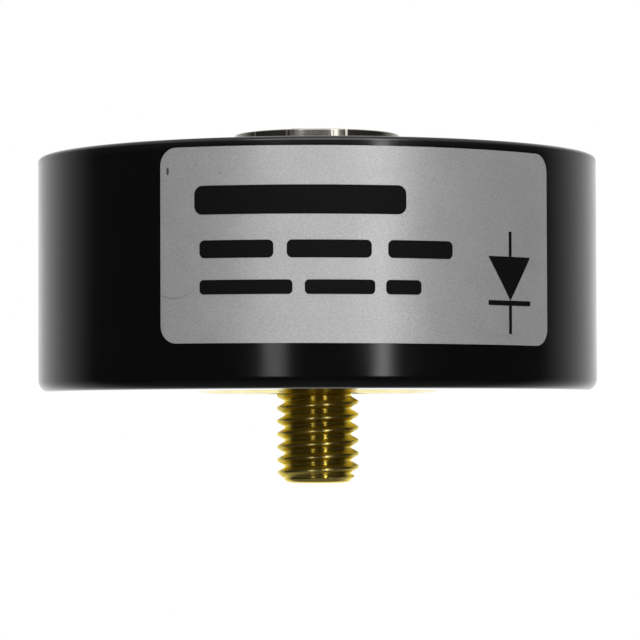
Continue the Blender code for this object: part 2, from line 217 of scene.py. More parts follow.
# %% World
FILL_LIGHT = 0.62
DARK_ROOM = 0.035
WALL_GLOW = 1.05
OVERHEAD_GLOW = 0.75
FLOOR_GLOW = 0.10
WALL_FALLOFF = 1.2
# What each part follows, from and to which value of it, and its own value at the two ends
GLOW_RANGES = {
    "behind": ("back", 0.22, 0.94, 0.0, 1.0),
    "level": ("steepness", 0.45, 0.90, 1.0, 0.0),
    "above": ("up", 0.25, 0.60, 0.0, OVERHEAD_GLOW),
    "below": ("up", -0.50, -0.95, 0.0, FLOOR_GLOW),
}
GLOW_SUMS = [
    ("wall", "POWER", "behind", WALL_FALLOFF),
    ("bright wall", "MULTIPLY", "wall", WALL_GLOW),
    ("wall glow", "MULTIPLY", "bright wall", "level"),
    ("end glow", "ADD", "above", "below"),
    ("all glow", "ADD", "wall glow", "end glow"),
    ("mirrored", "ADD", "all glow", DARK_ROOM),
    ("seen", "MAXIMUM", "camera ray", "clear ray"),
]

world = bpy.data.worlds.new("white_surroundings")
world.use_nodes = True
bpy.context.scene.world = world
tree = world.node_tree
tree.nodes.clear()
direction = add_node(tree, "ShaderNodeTexCoord").outputs["Generated"]
part = add_node(tree, "ShaderNodeSeparateXYZ", None, {0: direction}).outputs
steepness = add_node(tree, "ShaderNodeMath", {"operation": "ABSOLUTE"}, {0: part["Z"]}).outputs[0]
ray = add_node(tree, "ShaderNodeLightPath").outputs
value = {"back": part["Y"], "up": part["Z"], "steepness": steepness}
value["camera ray"] = ray["Is Camera Ray"]
value["clear ray"] = ray["Is Transmission Ray"]
for name, (follows, low, high, at_low, at_high) in GLOW_RANGES.items():
    limits = {"From Min": low, "From Max": high, "To Min": at_low, "To Max": at_high}
    glow = add_node(tree, "ShaderNodeMapRange", None, {"Value": value[follows], **limits})
    value[name] = glow.outputs[0]
for result, operation, *terms in GLOW_SUMS:
    inputs = {index: value.get(term, term) for index, term in enumerate(terms)}
    value[result] = add_node(tree, "ShaderNodeMath", {"operation": operation}, inputs).outputs[0]
for_surfaces = add_node(
    tree, "ShaderNodeMix", None,
    {0: ray["Is Glossy Ray"], 2: FILL_LIGHT, 3: value["mirrored"]},
)
strength = add_node(tree, "ShaderNodeMix", None, {0: value["seen"], 2: for_surfaces, 3: 1.0})
background = add_node(tree, "ShaderNodeBackground", None, {"Color": linear("#FFFFFF"), "Strength": strength})
add_node(tree, "ShaderNodeOutputWorld", None, {"Surface": background})
print("world nodes:", len(tree.nodes))

# %% [markdown]
# ## Floor
#
# In use the stud holds the diode, and in the photograph nothing stands under it. The pale
# floor therefore lies well below, out of the camera's sight, where it takes the soft
# shadow in the views from above. Part of its white is its own glow for camera rays, and
# the rest is lit, so the shadow stays. From below it is clear, and the underside can be
# looked at.

# %% Floor
FLOOR_LEVEL = -80.0 * MM
FLOOR_HALF_SIZE = 0.8
FLOOR_GLOW_FOR_CAMERA = 0.39

floor_paint = bpy.data.materials.new("matt_white_floor_paint")
floor_paint.use_nodes = True
tree = floor_paint.node_tree
tree.nodes.clear()
ray = add_node(tree, "ShaderNodeLightPath").outputs
side = add_node(tree, "ShaderNodeNewGeometry").outputs["Backfacing"]
glow = add_node(
    tree, "ShaderNodeMath", {"operation": "MULTIPLY"},
    {0: ray["Is Camera Ray"], 1: FLOOR_GLOW_FOR_CAMERA},
)
matt = add_node(tree, "ShaderNodeBsdfDiffuse", None, {"Color": linear("#D9D9D9")})
own_light = add_node(tree, "ShaderNodeEmission", None, {"Color": linear("#FFFFFF"), "Strength": glow})
lit = add_node(tree, "ShaderNodeAddShader", None, {0: matt, 1: own_light})
clear = add_node(tree, "ShaderNodeBsdfTransparent")
both_sides = add_node(tree, "ShaderNodeMixShader", None, {0: side, 1: lit, 2: clear})
add_node(tree, "ShaderNodeOutputMaterial", None, {"Surface": both_sides})

signs = ((-1, -1), (1, -1), (1, 1), (-1, 1))
corners = [(x * FLOOR_HALF_SIZE, y * FLOOR_HALF_SIZE, FLOOR_LEVEL) for x, y in signs]
floor_mesh = bpy.data.meshes.new("floor")
floor_mesh.from_pydata(corners, [], [(0, 1, 2, 3)])
floor_mesh.materials.append(floor_paint)
floor = bpy.data.objects.new("floor", floor_mesh)
floor.visible_glossy = False
bpy.context.scene.collection.objects.link(floor)
floor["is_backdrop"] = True

# %% [markdown]
# ## From a profile to a turned piece
#
# Case, epoxy, base and boss are all round, whether moulded or turned. Each could be
# modelled from a cylinder with cuts, but a half section carries every step, round and
# chamfer at once. A Screw modifier sweeps it about the axis. The result is made a plain
# mesh, its seam and its poles are welded, and only then are its faces turned outwards.

# %% Turning helpers
import bmesh

WELD = 0.001 * MM
SHARP_EDGE = math.radians(32.0)


def as_plain_mesh(piece):
    """Apply the modifiers, weld the seams, face outwards, and shade smooth between edges."""
    depsgraph = bpy.context.evaluated_depsgraph_get()
    mesh = bpy.data.meshes.new_from_object(piece.evaluated_get(depsgraph))
    piece.modifiers.clear()
    shape = bmesh.new()
    shape.from_mesh(mesh)
    bmesh.ops.remove_doubles(shape, verts=shape.verts, dist=WELD)
    bmesh.ops.dissolve_degenerate(shape, edges=shape.edges, dist=WELD / 10)
    bmesh.ops.recalc_face_normals(shape, faces=shape.faces)
    shape.to_mesh(mesh)
    shape.free()
    mesh.shade_smooth()
    mesh.set_sharp_from_angle(angle=SHARP_EDGE)
    mesh.name = piece.name
    piece.data = mesh
    return piece


def new_piece(name, points, edges, faces):
    """Put a mesh into the scene as a named object at the origin."""
    mesh = bpy.data.meshes.new(name)
    mesh.from_pydata(points, edges, faces)
    piece = bpy.data.objects.new(name, mesh)
    bpy.context.scene.collection.objects.link(piece)
    return piece


def arc(centre, radius, start_degrees, end_degrees, steps=12):
    """Points of a profile on an arc, where 0 degrees points away from the axis."""
    angles = [start_degrees + (end_degrees - start_degrees) * step / steps for step in range(steps + 1)]
    return [
        (centre[0] + radius * math.cos(math.radians(a)), centre[1] + radius * math.sin(math.radians(a)))
        for a in angles
    ]


def turned(name, profile, sides, closed):
    """Sweep a profile of radius and height about the axis."""
    edges = [(index, index + 1) for index in range(len(profile) - 1)]
    if closed:
        edges.append((len(profile) - 1, 0))
    piece = new_piece(name, [(radius, 0.0, height) for radius, height in profile], edges, [])
    screw = piece.modifiers.new("Turn", "SCREW")
    screw.steps = sides
    screw.render_steps = sides
    screw.use_merge_vertices = True
    screw.merge_threshold = WELD
    return as_plain_mesh(piece)


def place(piece, slot, *nodes):
    """Let a finished piece ride on the diode's body, and hide the imported pieces it stands for. The slot is
    not used.
    """
    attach(piece, "root")
    if nodes:
        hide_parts(*nodes)
    triangles = sum(len(polygon.vertices) - 2 for polygon in piece.data.polygons)
    print(piece.name, "has", triangles, "triangles")


print("weld distance in mm:", WELD / MM)

# %% [markdown]
# ## Glossy black moulding
#
# The case is a filled epoxy compound, moulded against a polished steel wall. It is almost
# black, so what the eye gets is all reflection: near-mirror gloss with soft edges. Pulling
# the case from its mould drags faint upright lines along the wall, and the compound
# shrinks a little unevenly. Both are bump patterns. The drag lines come from noise that is
# squeezed along Z, which needs no seam on a cylinder. A slow noise also changes the
# roughness, as handling does, and the wall is rubbed a little grey at its rim. The flat
# underside came from a polished plate and is the glossiest.

# %% Material of the case
DRAG_LINE_WIDTH = 0.9 * MM
UNEVENNESS_SIZE = 9.0 * MM
HANDLING_SIZE = 5.0 * MM
RUBBED_HEIGHTS = (21.6 * MM, 22.5 * MM)
POLISHED_BELOW = 0.25 * MM
POLISHED_ROUGHNESS = 0.02
RUBBED_DULLNESS = 0.05
DRAG_SQUEEZE = 0.04
DRAG_DEPTH = 0.0012 * MM
UNEVEN_DEPTH = 0.03 * MM
HANDLED_ROUGHNESS = (0.14, 0.19)
CASE_BLACK = "#050505"
RUBBED_BLACK = "#101011"
# A noise stays mostly between these values, so they are spread over the wanted range
NOISE_SPREAD = {"From Min": 0.3, "From Max": 0.7}


def principled(name, colour, metallic, roughness):
    """A new material with its tree, its shader and the object coordinates."""
    material = bpy.data.materials.new(name)
    material.use_nodes = True
    material.diffuse_color = linear(colour)
    tree = material.node_tree
    shader = tree.nodes["Principled BSDF"]
    fill(tree, shader, {"Base Color": linear(colour), "Metallic": metallic, "Roughness": roughness})
    where = add_node(tree, "ShaderNodeTexCoord").outputs["Object"]
    return material, tree, shader, where


moulding, tree, shader, where = principled("gloss_black_epoxy_moulding", CASE_BLACK, 0.0, 0.17)
squeezed = add_node(tree, "ShaderNodeMapping", None, {"Vector": where, "Scale": (1.0, 1.0, DRAG_SQUEEZE)})
drag = add_node(
    tree, "ShaderNodeTexNoise", None,
    {"Vector": squeezed, "Scale": 1 / DRAG_LINE_WIDTH, "Detail": 3.0},
)
uneven = add_node(
    tree, "ShaderNodeTexNoise", None,
    {"Vector": where, "Scale": 1 / UNEVENNESS_SIZE, "Detail": 1.0},
)
handled = add_node(
    tree, "ShaderNodeTexNoise", None,
    {"Vector": where, "Scale": 1 / HANDLING_SIZE, "Detail": 5.0},
)
height = add_node(tree, "ShaderNodeSeparateXYZ", None, {0: where}).outputs["Z"]
rubbed = add_node(
    tree, "ShaderNodeMapRange", {"interpolation_type": "SMOOTHSTEP"},
    {"Value": height, "From Min": RUBBED_HEIGHTS[0], "From Max": RUBBED_HEIGHTS[1]},
)
tone = add_node(
    tree, "ShaderNodeMix", {"data_type": "RGBA"},
    {0: rubbed, 6: linear(CASE_BLACK), 7: linear(RUBBED_BLACK)},
)
low, high = HANDLED_ROUGHNESS
roughness = add_node(
    tree, "ShaderNodeMapRange", None,
    {"Value": handled, **NOISE_SPREAD, "To Min": low, "To Max": high},
)
dulled = add_node(
    tree, "ShaderNodeMath", {"operation": "MULTIPLY_ADD"},
    {0: rubbed, 1: RUBBED_DULLNESS, 2: roughness},
)
under = add_node(tree, "ShaderNodeMath", {"operation": "LESS_THAN"}, {0: height, 1: POLISHED_BELOW})
polished = add_node(tree, "ShaderNodeMix", None, {0: under, 2: dulled, 3: POLISHED_ROUGHNESS})
bumpy = add_node(tree, "ShaderNodeMath", {"operation": "SUBTRACT"}, {0: 1.0, 1: under})
drag_bump = add_node(
    tree, "ShaderNodeBump", None,
    {"Strength": bumpy, "Distance": DRAG_DEPTH, "Height": drag},
)
case_bump = add_node(
    tree, "ShaderNodeBump", None,
    {"Strength": bumpy, "Distance": UNEVEN_DEPTH, "Height": uneven, "Normal": drag_bump},
)
fill(tree, shader, {"Base Color": tone.outputs[2], "Roughness": polished, "Normal": case_bump})
print("nodes in", moulding.name + ":", len(tree.nodes))

# %% [markdown]
# ## Case
#
# A cup with a thin rim and a well rounded foot. Its half section starts at the outer rim,
# goes down the wall, round the foot, along the underside to the opening for the base, and
# comes back up inside. With 256 sides its outline stays round even close up.

# %% Case
ROUND_SIDES = 256
CASE_WALL = 2.0 * MM
CASE_FLOOR = 2.0 * MM
RIM_ROUND = 0.4 * MM
FOOT_ROUND = 1.12 * MM
FOOT_STEPS = 20
INNER_ROUND = 1.0 * MM
BASE_FACE_RADIUS = 11.9 * MM
MOULDED_FIT = 0.03 * MM

case_low, case_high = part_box("case")
case_radius = case_high.x
case_bottom = case_low.z
case_top = case_high.z
bore_radius = case_radius - CASE_WALL
floor_top = case_bottom + CASE_FLOOR
opening = BASE_FACE_RADIUS + MOULDED_FIT
profile = arc((case_radius - RIM_ROUND, case_top - RIM_ROUND), RIM_ROUND, 90, 0)
profile += arc((case_radius - FOOT_ROUND, case_bottom + FOOT_ROUND), FOOT_ROUND, 0, -90, FOOT_STEPS)
profile += [(opening, case_bottom), (opening, floor_top)]
profile += arc((bore_radius - INNER_ROUND, floor_top + INNER_ROUND), INNER_ROUND, -90, 0)
profile += arc((bore_radius + RIM_ROUND, case_top - RIM_ROUND), RIM_ROUND, 180, 90)
case = turned("case_moulding", profile, ROUND_SIDES, True)
case.data.materials.append(moulding)
place(case, "case", "case")
print("case diameter in mm:", round(case_radius * 2 / MM, 2))

# %% [markdown]
# ## Cast epoxy
#
# The resin is poured round the stack, creeps a little up every wall and sets with a skin
# that is glossy but not flat. A plain disc would look like a lid. So the surface gets
# rings from the boss to the wall, a raised edge at both, and slow waves a few hundredths
# of a millimetre high.
#
# The collar of the boss is a hexagon, so that it can't turn in the resin. The pocket for
# it is cut from the finished ring.

# %% Epoxy
from mathutils import noise

RESIN_DROP = 0.7 * MM
CREEP_RISE = 0.3 * MM
CREEP_REACH = 0.9 * MM
RESIN_RINGS = 44
WAVE_SIZE = 7.0 * MM
WAVE_HEIGHT = 0.05 * MM
BUSH_RADIUS = 8.0 * MM
BUSH_GROOVE_DEPTH = 1.2 * MM
COLLAR_HEIGHT = 2.6 * MM
GROOVE_WIDTH = 2.2 * MM
COLLAR_FLATS = 17.0 * MM
SEAT_GAP = 0.3 * MM
BASE_RADIUS = 14.0 * MM

bush_low, bush_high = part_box("terminal_bush")
gel_low, gel_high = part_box("silicone_gel")
resin_level = case_top - RESIN_DROP
resin_bottom = floor_top + SEAT_GAP
collar_top = bush_low.z + COLLAR_HEIGHT
groove_top = collar_top + GROOVE_WIDTH


def creep(distance):
    """Height of the resin above its level at a distance from a wall."""
    return CREEP_RISE * max(0.0, 1.0 - distance / CREEP_REACH) ** 2


def hexagon(name, flats, low, high):
    """Upright hexagonal prism with a corner towards +X."""
    corner = flats / 2 / math.cos(math.pi / 6)
    angles = [math.tau * side / 6 for side in range(6)]
    ring = [(corner * math.cos(angle), corner * math.sin(angle)) for angle in angles]
    points = [(x, y, low) for x, y in ring] + [(x, y, high) for x, y in ring]
    sides = [(side, (side + 1) % 6, (side + 1) % 6 + 6, side + 6) for side in range(6)]
    return new_piece(name, points, [], [(5, 4, 3, 2, 1, 0), (6, 7, 8, 9, 10, 11), *sides])


def combine(target, tool, operation):
    """Cut a tool from the target, or join it to the target, and remove the tool."""
    modifier = target.modifiers.new("Combine", "BOOLEAN")
    modifier.operation = operation
    modifier.object = tool
    as_plain_mesh(target)
    bpy.data.objects.remove(tool)
    return target


surface = []
for ring in range(RESIN_RINGS + 1):
    share = 0.5 - 0.5 * math.cos(math.pi * ring / RESIN_RINGS)
    radius = BUSH_RADIUS + (bore_radius - BUSH_RADIUS) * share
    rise = creep(radius - BUSH_RADIUS) + creep(bore_radius - radius)
    surface.append((radius, resin_level + rise))
profile = surface + arc((bore_radius - INNER_ROUND, resin_bottom + INNER_ROUND), INNER_ROUND, 0, -90)
profile += [(BASE_RADIUS + SEAT_GAP, resin_bottom), (BASE_RADIUS + SEAT_GAP, gel_low.z)]
profile += [(gel_high.x + SEAT_GAP, gel_low.z), (gel_high.x + SEAT_GAP, bush_low.z)]
profile += [(BUSH_RADIUS - BUSH_GROOVE_DEPTH + SEAT_GAP, bush_low.z)]
profile += [(BUSH_RADIUS - BUSH_GROOVE_DEPTH + SEAT_GAP, groove_top - SEAT_GAP)]
profile += [(BUSH_RADIUS, groove_top - SEAT_GAP)]
resin = turned("cast_epoxy", profile, ROUND_SIDES, True)
pocket = hexagon("collar_pocket", COLLAR_FLATS + 2 * SEAT_GAP, bush_low.z - SEAT_GAP, collar_top + SEAT_GAP)
combine(resin, pocket, "DIFFERENCE")
for vertex in resin.data.vertices:
    if vertex.co.z > resin_level - WELD:
        calm = 1.0 - creep(bore_radius - vertex.co.xy.length) / CREEP_RISE
        vertex.co.z += WAVE_HEIGHT * calm * noise.noise(vertex.co / WAVE_SIZE)

print("resin level below the rim in mm:", RESIN_DROP / MM)

# %% [markdown]
# ## Skin of the epoxy
#
# The resin is the same black as the case but sets in the open, so its gloss comes and goes
# in soft clouds. Air that rose to the surface left fine pinholes. They are left to the bump,
# since they are too small and too many to model.

# %% Material of the epoxy
PINHOLE_SPACING = 1.4 * MM
PINHOLE_DEPTH = 0.06 * MM
SKIN_SIZE = 2.5 * MM
SKIN_DEPTH = 0.01 * MM
SKIN_ROUGHNESS = (0.14, 0.30)
# Radius of a pinhole's floor and of its rim, as shares of the spacing
PINHOLE_SIZE = (0.03, 0.09)

resin_black, tree, shader, where = principled("cast_black_epoxy", "#0C0C0D", 0.0, 0.2)
skin = add_node(tree, "ShaderNodeTexNoise", None, {"Vector": where, "Scale": 1 / SKIN_SIZE, "Detail": 4.0})
cells = add_node(tree, "ShaderNodeTexVoronoi", None, {"Vector": where, "Scale": 1 / PINHOLE_SPACING})
pinholes = add_node(
    tree, "ShaderNodeMapRange", {"interpolation_type": "SMOOTHSTEP"},
    {"Value": cells.outputs["Distance"], "From Min": PINHOLE_SIZE[0], "From Max": PINHOLE_SIZE[1]},
)
low, high = SKIN_ROUGHNESS
roughness = add_node(tree, "ShaderNodeMapRange", None, {"Value": skin, "To Min": low, "To Max": high})
pit_bump = add_node(
    tree, "ShaderNodeBump", None,
    {"Strength": 0.6, "Distance": PINHOLE_DEPTH, "Height": pinholes},
)
skin_bump = add_node(
    tree, "ShaderNodeBump", None,
    {"Strength": 1.0, "Distance": SKIN_DEPTH, "Height": skin, "Normal": pit_bump},
)
fill(tree, shader, {"Roughness": roughness, "Normal": skin_bump})
resin.data.materials.append(resin_black)
place(resin, "epoxy", "epoxy_potting")

# %% [markdown]
# ## A thread that follows its rule
#
# The stud is M8 with a pitch of 1.25 mm, and the boss has the same thread as a tapped
# hole. A thread could be swept as a groove, or faked with stacked rings, but it is really
# one rule: the radius depends only on how far a point lies from the nearest root along
# the axis, and that distance slides by one pitch in each turn.
#
# A Geometry Nodes tree states the rule once. It rolls a grid into a tube whose rows climb
# by a pitch in each turn, so that they run along the crests. Beyond the two ends the rows
# shrink to the axis and close the caps. The named inputs make it serve for the stud and,
# with a flat on its roots, for the tap that cuts the hole.
#
# The sums are a table again, and what they work on can be an input of the tree too.

# %% Thread tree
FLANK = math.radians(30.0)
BEVEL_SLOPE = 5.0
THREAD_MEASURES = [
    "Pitch", "Nominal Radius", "Crest Radius", "Root Flat", "Crest At X",
    "Low End", "Low End Radius", "Low Slope", "Low Bevel Radius", "High End", "High End Radius",
]
THREAD_SOCKETS = {
    **dict.fromkeys(THREAD_MEASURES, "NodeSocketFloat"),
    **dict.fromkeys(["Columns", "Rows Per Pitch"], "NodeSocketInt"),
    "Material": "NodeSocketMaterial",
}
THREAD_SUMS = [
    ("cap", "MULTIPLY", "Pitch", 0.25),
    ("row height", "DIVIDE", "Pitch", "Rows Per Pitch"),
    ("margin", "ADD", "cap", "row height"),
    ("cap bottom", "SUBTRACT", "Low End", "margin"),
    ("start", "SUBTRACT", "cap bottom", "Pitch"),
    ("cap top", "ADD", "High End", "margin"),
    ("span", "SUBTRACT", "cap top", "start"),
    ("whole rows", "DIVIDE", "span", "row height"),
    ("rows", "CEIL", "whole rows"),
    ("points round", "ADD", "Columns", 1.0),
    ("points up", "ADD", "rows", 1.0),
    # Each point of the grid: its share of a turn, its row, and its height along the axis
    ("turn", "ADD", "grid x", 0.5),
    ("row share", "ADD", "grid y", 0.5),
    ("row", "MULTIPLY", "row share", "rows"),
    ("climb", "MULTIPLY_ADD", "turn", "Pitch", "start"),
    ("along", "MULTIPLY_ADD", "row", "row height", "climb"),
    ("under top", "MINIMUM", "along", "High End"),
    ("height", "MAXIMUM", "under top", "Low End"),
    # Distance along the axis from the nearest root
    ("above crest", "SUBTRACT", "height", "Crest At X"),
    ("pitches", "DIVIDE", "above crest", "Pitch"),
    ("unwound", "SUBTRACT", "pitches", "turn"),
    ("phase", "FRACT", "unwound"),
    ("past root", "SUBTRACT", "phase", 0.5),
    ("root pitches", "ABSOLUTE", "past root"),
    ("offset", "MULTIPLY", "root pitches", "Pitch"),
    # Radius on the straight flank, and on the round at the root. At the nominal radius half
    # a groove is 7/16 of a pitch wide, which gives the apex where its flanks would meet.
    ("apex", "MULTIPLY_ADD", "Pitch", -7 / 16 / math.tan(FLANK), "Nominal Radius"),
    ("flank", "MULTIPLY_ADD", "offset", 1 / math.tan(FLANK), "apex"),
    ("root round", "MULTIPLY", "Pitch", math.sqrt(3) / 12),
    ("root centre", "MULTIPLY_ADD", "root round", 1 / math.sin(FLANK), "apex"),
    ("reach", "DIVIDE", "offset", "root round"),
    ("sine", "MINIMUM", "reach", 1.0),
    ("arc angle", "ARCSINE", "sine"),
    ("cosine", "COSINE", "arc angle"),
    ("bow", "MULTIPLY", "root round", "cosine"),
    ("root", "SUBTRACT", "root centre", "bow"),
    ("in root", "LESS_THAN", "sine", math.cos(FLANK)),
    ("root step", "SUBTRACT", "root", "flank"),
    ("groove", "MULTIPLY_ADD", "in root", "root step", "flank"),
    ("crested", "MINIMUM", "groove", "Crest Radius"),
    ("rooted", "MAXIMUM", "crested", "Root Flat"),
    # Chamfers at both ends, and the caps, which start one row past the end to keep its rim
    ("from low", "SUBTRACT", "height", "Low End"),
    ("low cone", "MULTIPLY_ADD", "from low", "Low Slope", "Low End Radius"),
    ("low bevel", "MULTIPLY_ADD", "from low", BEVEL_SLOPE, "Low Bevel Radius"),
    ("low edge", "MINIMUM", "low cone", "low bevel"),
    ("low chamfer", "MINIMUM", "rooted", "low edge"),
    ("from high", "SUBTRACT", "High End", "height"),
    ("high cone", "ADD", "High End Radius", "from high"),
    ("chamfered", "MINIMUM", "low chamfer", "high cone"),
    ("past low", "SUBTRACT", "Low End", "along"),
    ("past high", "SUBTRACT", "along", "High End"),
    ("past either", "MAXIMUM", "past low", "past high"),
    ("past rim", "SUBTRACT", "past either", "row height"),
    ("past end", "MAXIMUM", "past rim", 0.0),
    ("cap share", "DIVIDE", "past end", "cap"),
    ("left over", "SUBTRACT", 1.0, "cap share"),
    ("closing", "MAXIMUM", "left over", 0.0),
    ("radius", "MULTIPLY", "chamfered", "closing"),
    # Rolled up about the axis
    ("angle", "MULTIPLY", "turn", math.tau),
    ("east", "COSINE", "angle"),
    ("north", "SINE", "angle"),
    ("x", "MULTIPLY", "radius", "east"),
    ("y", "MULTIPLY", "radius", "north"),
]


def new_shape_tree(name, sockets):
    """An empty shape tree with named inputs. It returns the tree and its inputs by name."""
    tree = bpy.data.node_groups.new(name, "GeometryNodeTree")
    for socket, kind in sockets.items():
        tree.interface.new_socket(socket, in_out="INPUT", socket_type=kind)
    tree.interface.new_socket("Geometry", in_out="OUTPUT", socket_type="NodeSocketGeometry")
    outputs = tree.nodes.new("NodeGroupInput").outputs
    return tree, {socket: outputs[socket] for socket in sockets}


thread, value = new_shape_tree("helical_thread", THREAD_SOCKETS)
position = add_node(thread, "GeometryNodeInputPosition")
corner = add_node(thread, "ShaderNodeSeparateXYZ", None, {0: position}).outputs
value["grid x"] = corner["X"]
value["grid y"] = corner["Y"]
for result, operation, *terms in THREAD_SUMS:
    inputs = {index: value.get(term, term) for index, term in enumerate(terms)}
    sum_node = add_node(thread, "ShaderNodeMath", {"operation": operation, "label": result}, inputs)
    value[result] = sum_node.outputs[0]

grid = add_node(
    thread, "GeometryNodeMeshGrid", None,
    {"Size X": 1.0, "Size Y": 1.0, "Vertices X": value["points round"], "Vertices Y": value["points up"]},
)
rolled = add_node(
    thread, "ShaderNodeCombineXYZ", None,
    {"X": value["x"], "Y": value["y"], "Z": value["height"]},
)
tube = add_node(thread, "GeometryNodeSetPosition", None, {"Geometry": grid, "Position": rolled})
welded = add_node(thread, "GeometryNodeMergeByDistance", None, {"Geometry": tube, "Distance": WELD})
real = add_node(thread, "GeometryNodeRealizeInstances", None, {"Geometry": welded})
painted = add_node(
    thread, "GeometryNodeSetMaterial", None,
    {"Geometry": real, "Material": value["Material"]},
)
add_node(thread, "NodeGroupOutput", None, {"Geometry": painted})


def add_shape(piece, tree, values):
    """Put a shape tree on a piece, and set its named inputs by their identifiers."""
    modifier = piece.modifiers.new("Shape", "NODES")
    modifier.node_group = tree
    for item in tree.interface.items_tree:
        if item.in_out == "INPUT" and item.name in values:
            modifier[item.identifier] = values[item.name]


def grown(name, tree, values):
    """Run a shape tree with its named inputs, and keep the result as a plain mesh."""
    piece = new_piece(name, [], [], [])
    add_shape(piece, tree, values)
    return as_plain_mesh(piece)


print("nodes in the thread tree:", len(thread.nodes))

# %% [markdown]
# ## Turned brass
#
# Stud and base are free-cutting brass straight from the lathe. Untreated brass mirrors a
# yellow that leans to green, and stays yellow even where it mirrors at a slant. The tool
# leaves fine rings, and between them the metal is slightly torn, which blurs the mirror.
# The rings come from noise that reads only the distance from the axis and the height, and
# they are deepest on the faces across the axis, where the tool ran slower.
# Darker olive patches are the tarnish of a part that has been handled.

# %% Material of the base
RING_SPACING = 0.16 * MM
TARNISH_SIZE = 1.6 * MM
# The noise values between which the tarnish sets in
TARNISH_SPREAD = {"From Min": 0.42, "From Max": 0.72}


def machined_metal(name, colour, tarnished, slant, roughness_range, ring_depth):
    """A turned metal with rings and tarnish. It also returns what more detail can build on."""
    material, tree, shader, where = principled(name, colour, 1.0, roughness_range[0])
    part = add_node(tree, "ShaderNodeSeparateXYZ", None, {0: where}).outputs
    flat = add_node(tree, "ShaderNodeCombineXYZ", None, {"X": part["X"], "Y": part["Y"]})
    radius = add_node(tree, "ShaderNodeVectorMath", {"operation": "LENGTH"}, {0: flat}).outputs["Value"]
    ringed = add_node(tree, "ShaderNodeCombineXYZ", None, {"X": radius, "Y": part["Z"]})
    rings = add_node(
        tree, "ShaderNodeTexNoise", None,
        {"Vector": ringed, "Scale": 1 / RING_SPACING, "Detail": 2.0},
    )
    patches = add_node(
        tree, "ShaderNodeTexNoise", None,
        {"Vector": where, "Scale": 1 / TARNISH_SIZE, "Detail": 5.0},
    )
    share = add_node(tree, "ShaderNodeMapRange", None, {"Value": patches, **TARNISH_SPREAD})
    tint = add_node(
        tree, "ShaderNodeMix", {"data_type": "RGBA"},
        {0: share, 6: linear(colour), 7: linear(tarnished)},
    ).outputs[2]
    low, high = roughness_range
    roughness = add_node(
        tree, "ShaderNodeMapRange", None,
        {"Value": patches, **NOISE_SPREAD, "To Min": low, "To Max": high},
    ).outputs[0]
    facing = add_node(tree, "ShaderNodeNewGeometry").outputs["True Normal"]
    facing_z = add_node(tree, "ShaderNodeSeparateXYZ", None, {0: facing}).outputs["Z"]
    on_face = add_node(tree, "ShaderNodeMath", {"operation": "ABSOLUTE"}, {0: facing_z})
    bump = add_node(
        tree, "ShaderNodeBump", None,
        {"Strength": on_face, "Distance": ring_depth, "Height": rings},
    ).outputs[0]
    finish = {"Base Color": tint, "Roughness": roughness, "Normal": bump}
    fill(tree, shader, {"Specular Tint": linear(slant), **finish})
    found = {"where": where, "part": part, "flat": flat, "radius": radius}
    found.update({"tint": tint, "roughness": roughness, "bump": bump})
    return material, tree, shader, found


BASE_RING_DEPTH = 0.003 * MM
BASE_ROUGHNESS = (0.08, 0.15)
# Colour of the metal, of its tarnish, and of what it mirrors at a slant
BRASS = ("#F0DC80", "#CDB56C", "#FFF8B4")
turned_brass = machined_metal("turned_brass", *BRASS, BASE_ROUGHNESS, BASE_RING_DEPTH)[0]
print("brass rings every (mm):", RING_SPACING / MM)

# %% [markdown]
# ## Brass of the thread
#
# A die tears the flanks of a thread a little and leaves its roots and crests smooth. So
# the flanks are dim, each root shows the two lamps as dots, and each crest draws them out
# into one short bright line. The metal recipe above is used again, and the flanks are
# picked out by their distance from the axis.

# %% Material of the stud
ROOT_BAND = (3.31 * MM, 3.40 * MM)
CREST_BAND = (3.90 * MM, 3.94 * MM)
ROOT_ROUGHNESS = 0.13
CREST_ROUGHNESS = 0.25
TORN_GRAIN = 0.10 * MM
TORN_DEPTH = 0.0015 * MM
STUD_RING_DEPTH = 0.001 * MM
FLANK_ROUGHNESS = (0.28, 0.38)

cut_brass, tree, shader, found = machined_metal(
    "die_cut_brass", *BRASS, FLANK_ROUGHNESS, STUD_RING_DEPTH,
)
past_root = add_node(
    tree, "ShaderNodeMapRange", None,
    {"Value": found["radius"], "From Min": ROOT_BAND[0], "From Max": ROOT_BAND[1]},
)
rooted = add_node(
    tree, "ShaderNodeMix", None,
    {0: past_root, 2: ROOT_ROUGHNESS, 3: found["roughness"]},
)
on_crest = add_node(
    tree, "ShaderNodeMapRange", None,
    {"Value": found["radius"], "From Min": CREST_BAND[0], "From Max": CREST_BAND[1]},
)
dragged = add_node(
    tree, "ShaderNodeMix", None,
    {0: on_crest, 2: rooted, 3: CREST_ROUGHNESS},
)
torn = add_node(
    tree, "ShaderNodeTexNoise", None,
    {"Vector": found["where"], "Scale": 1 / TORN_GRAIN, "Detail": 2.0},
)
torn_bump = add_node(
    tree, "ShaderNodeBump", None,
    {"Strength": 1.0, "Distance": TORN_DEPTH, "Height": torn, "Normal": found["bump"]},
)
fill(tree, shader, {"Roughness": dragged, "Normal": torn_bump})
print("nodes in", cut_brass.name + ":", len(tree.nodes))

# %% [markdown]
# ## Threaded stud
#
# The stud is a piece of M8 rod with a chamfered tip, screwed into the base. One crest
# crosses the +X side eight tenths of a millimetre below the seating face, which is where
# the photograph shows it.

# %% Stud
THREAD_PITCH = 1.25 * MM
NOMINAL_RADIUS = 4.0 * MM
FIRST_CREST = -0.8 * MM
STUD_CREST_RADIUS = 3.95 * MM
TIP_RADIUS = 2.9 * MM
TIP_HEIGHT = 1.05 * MM
TIP_BEVEL_RADIUS = 2.4 * MM
HEAD_CHAMFER = 0.5 * MM

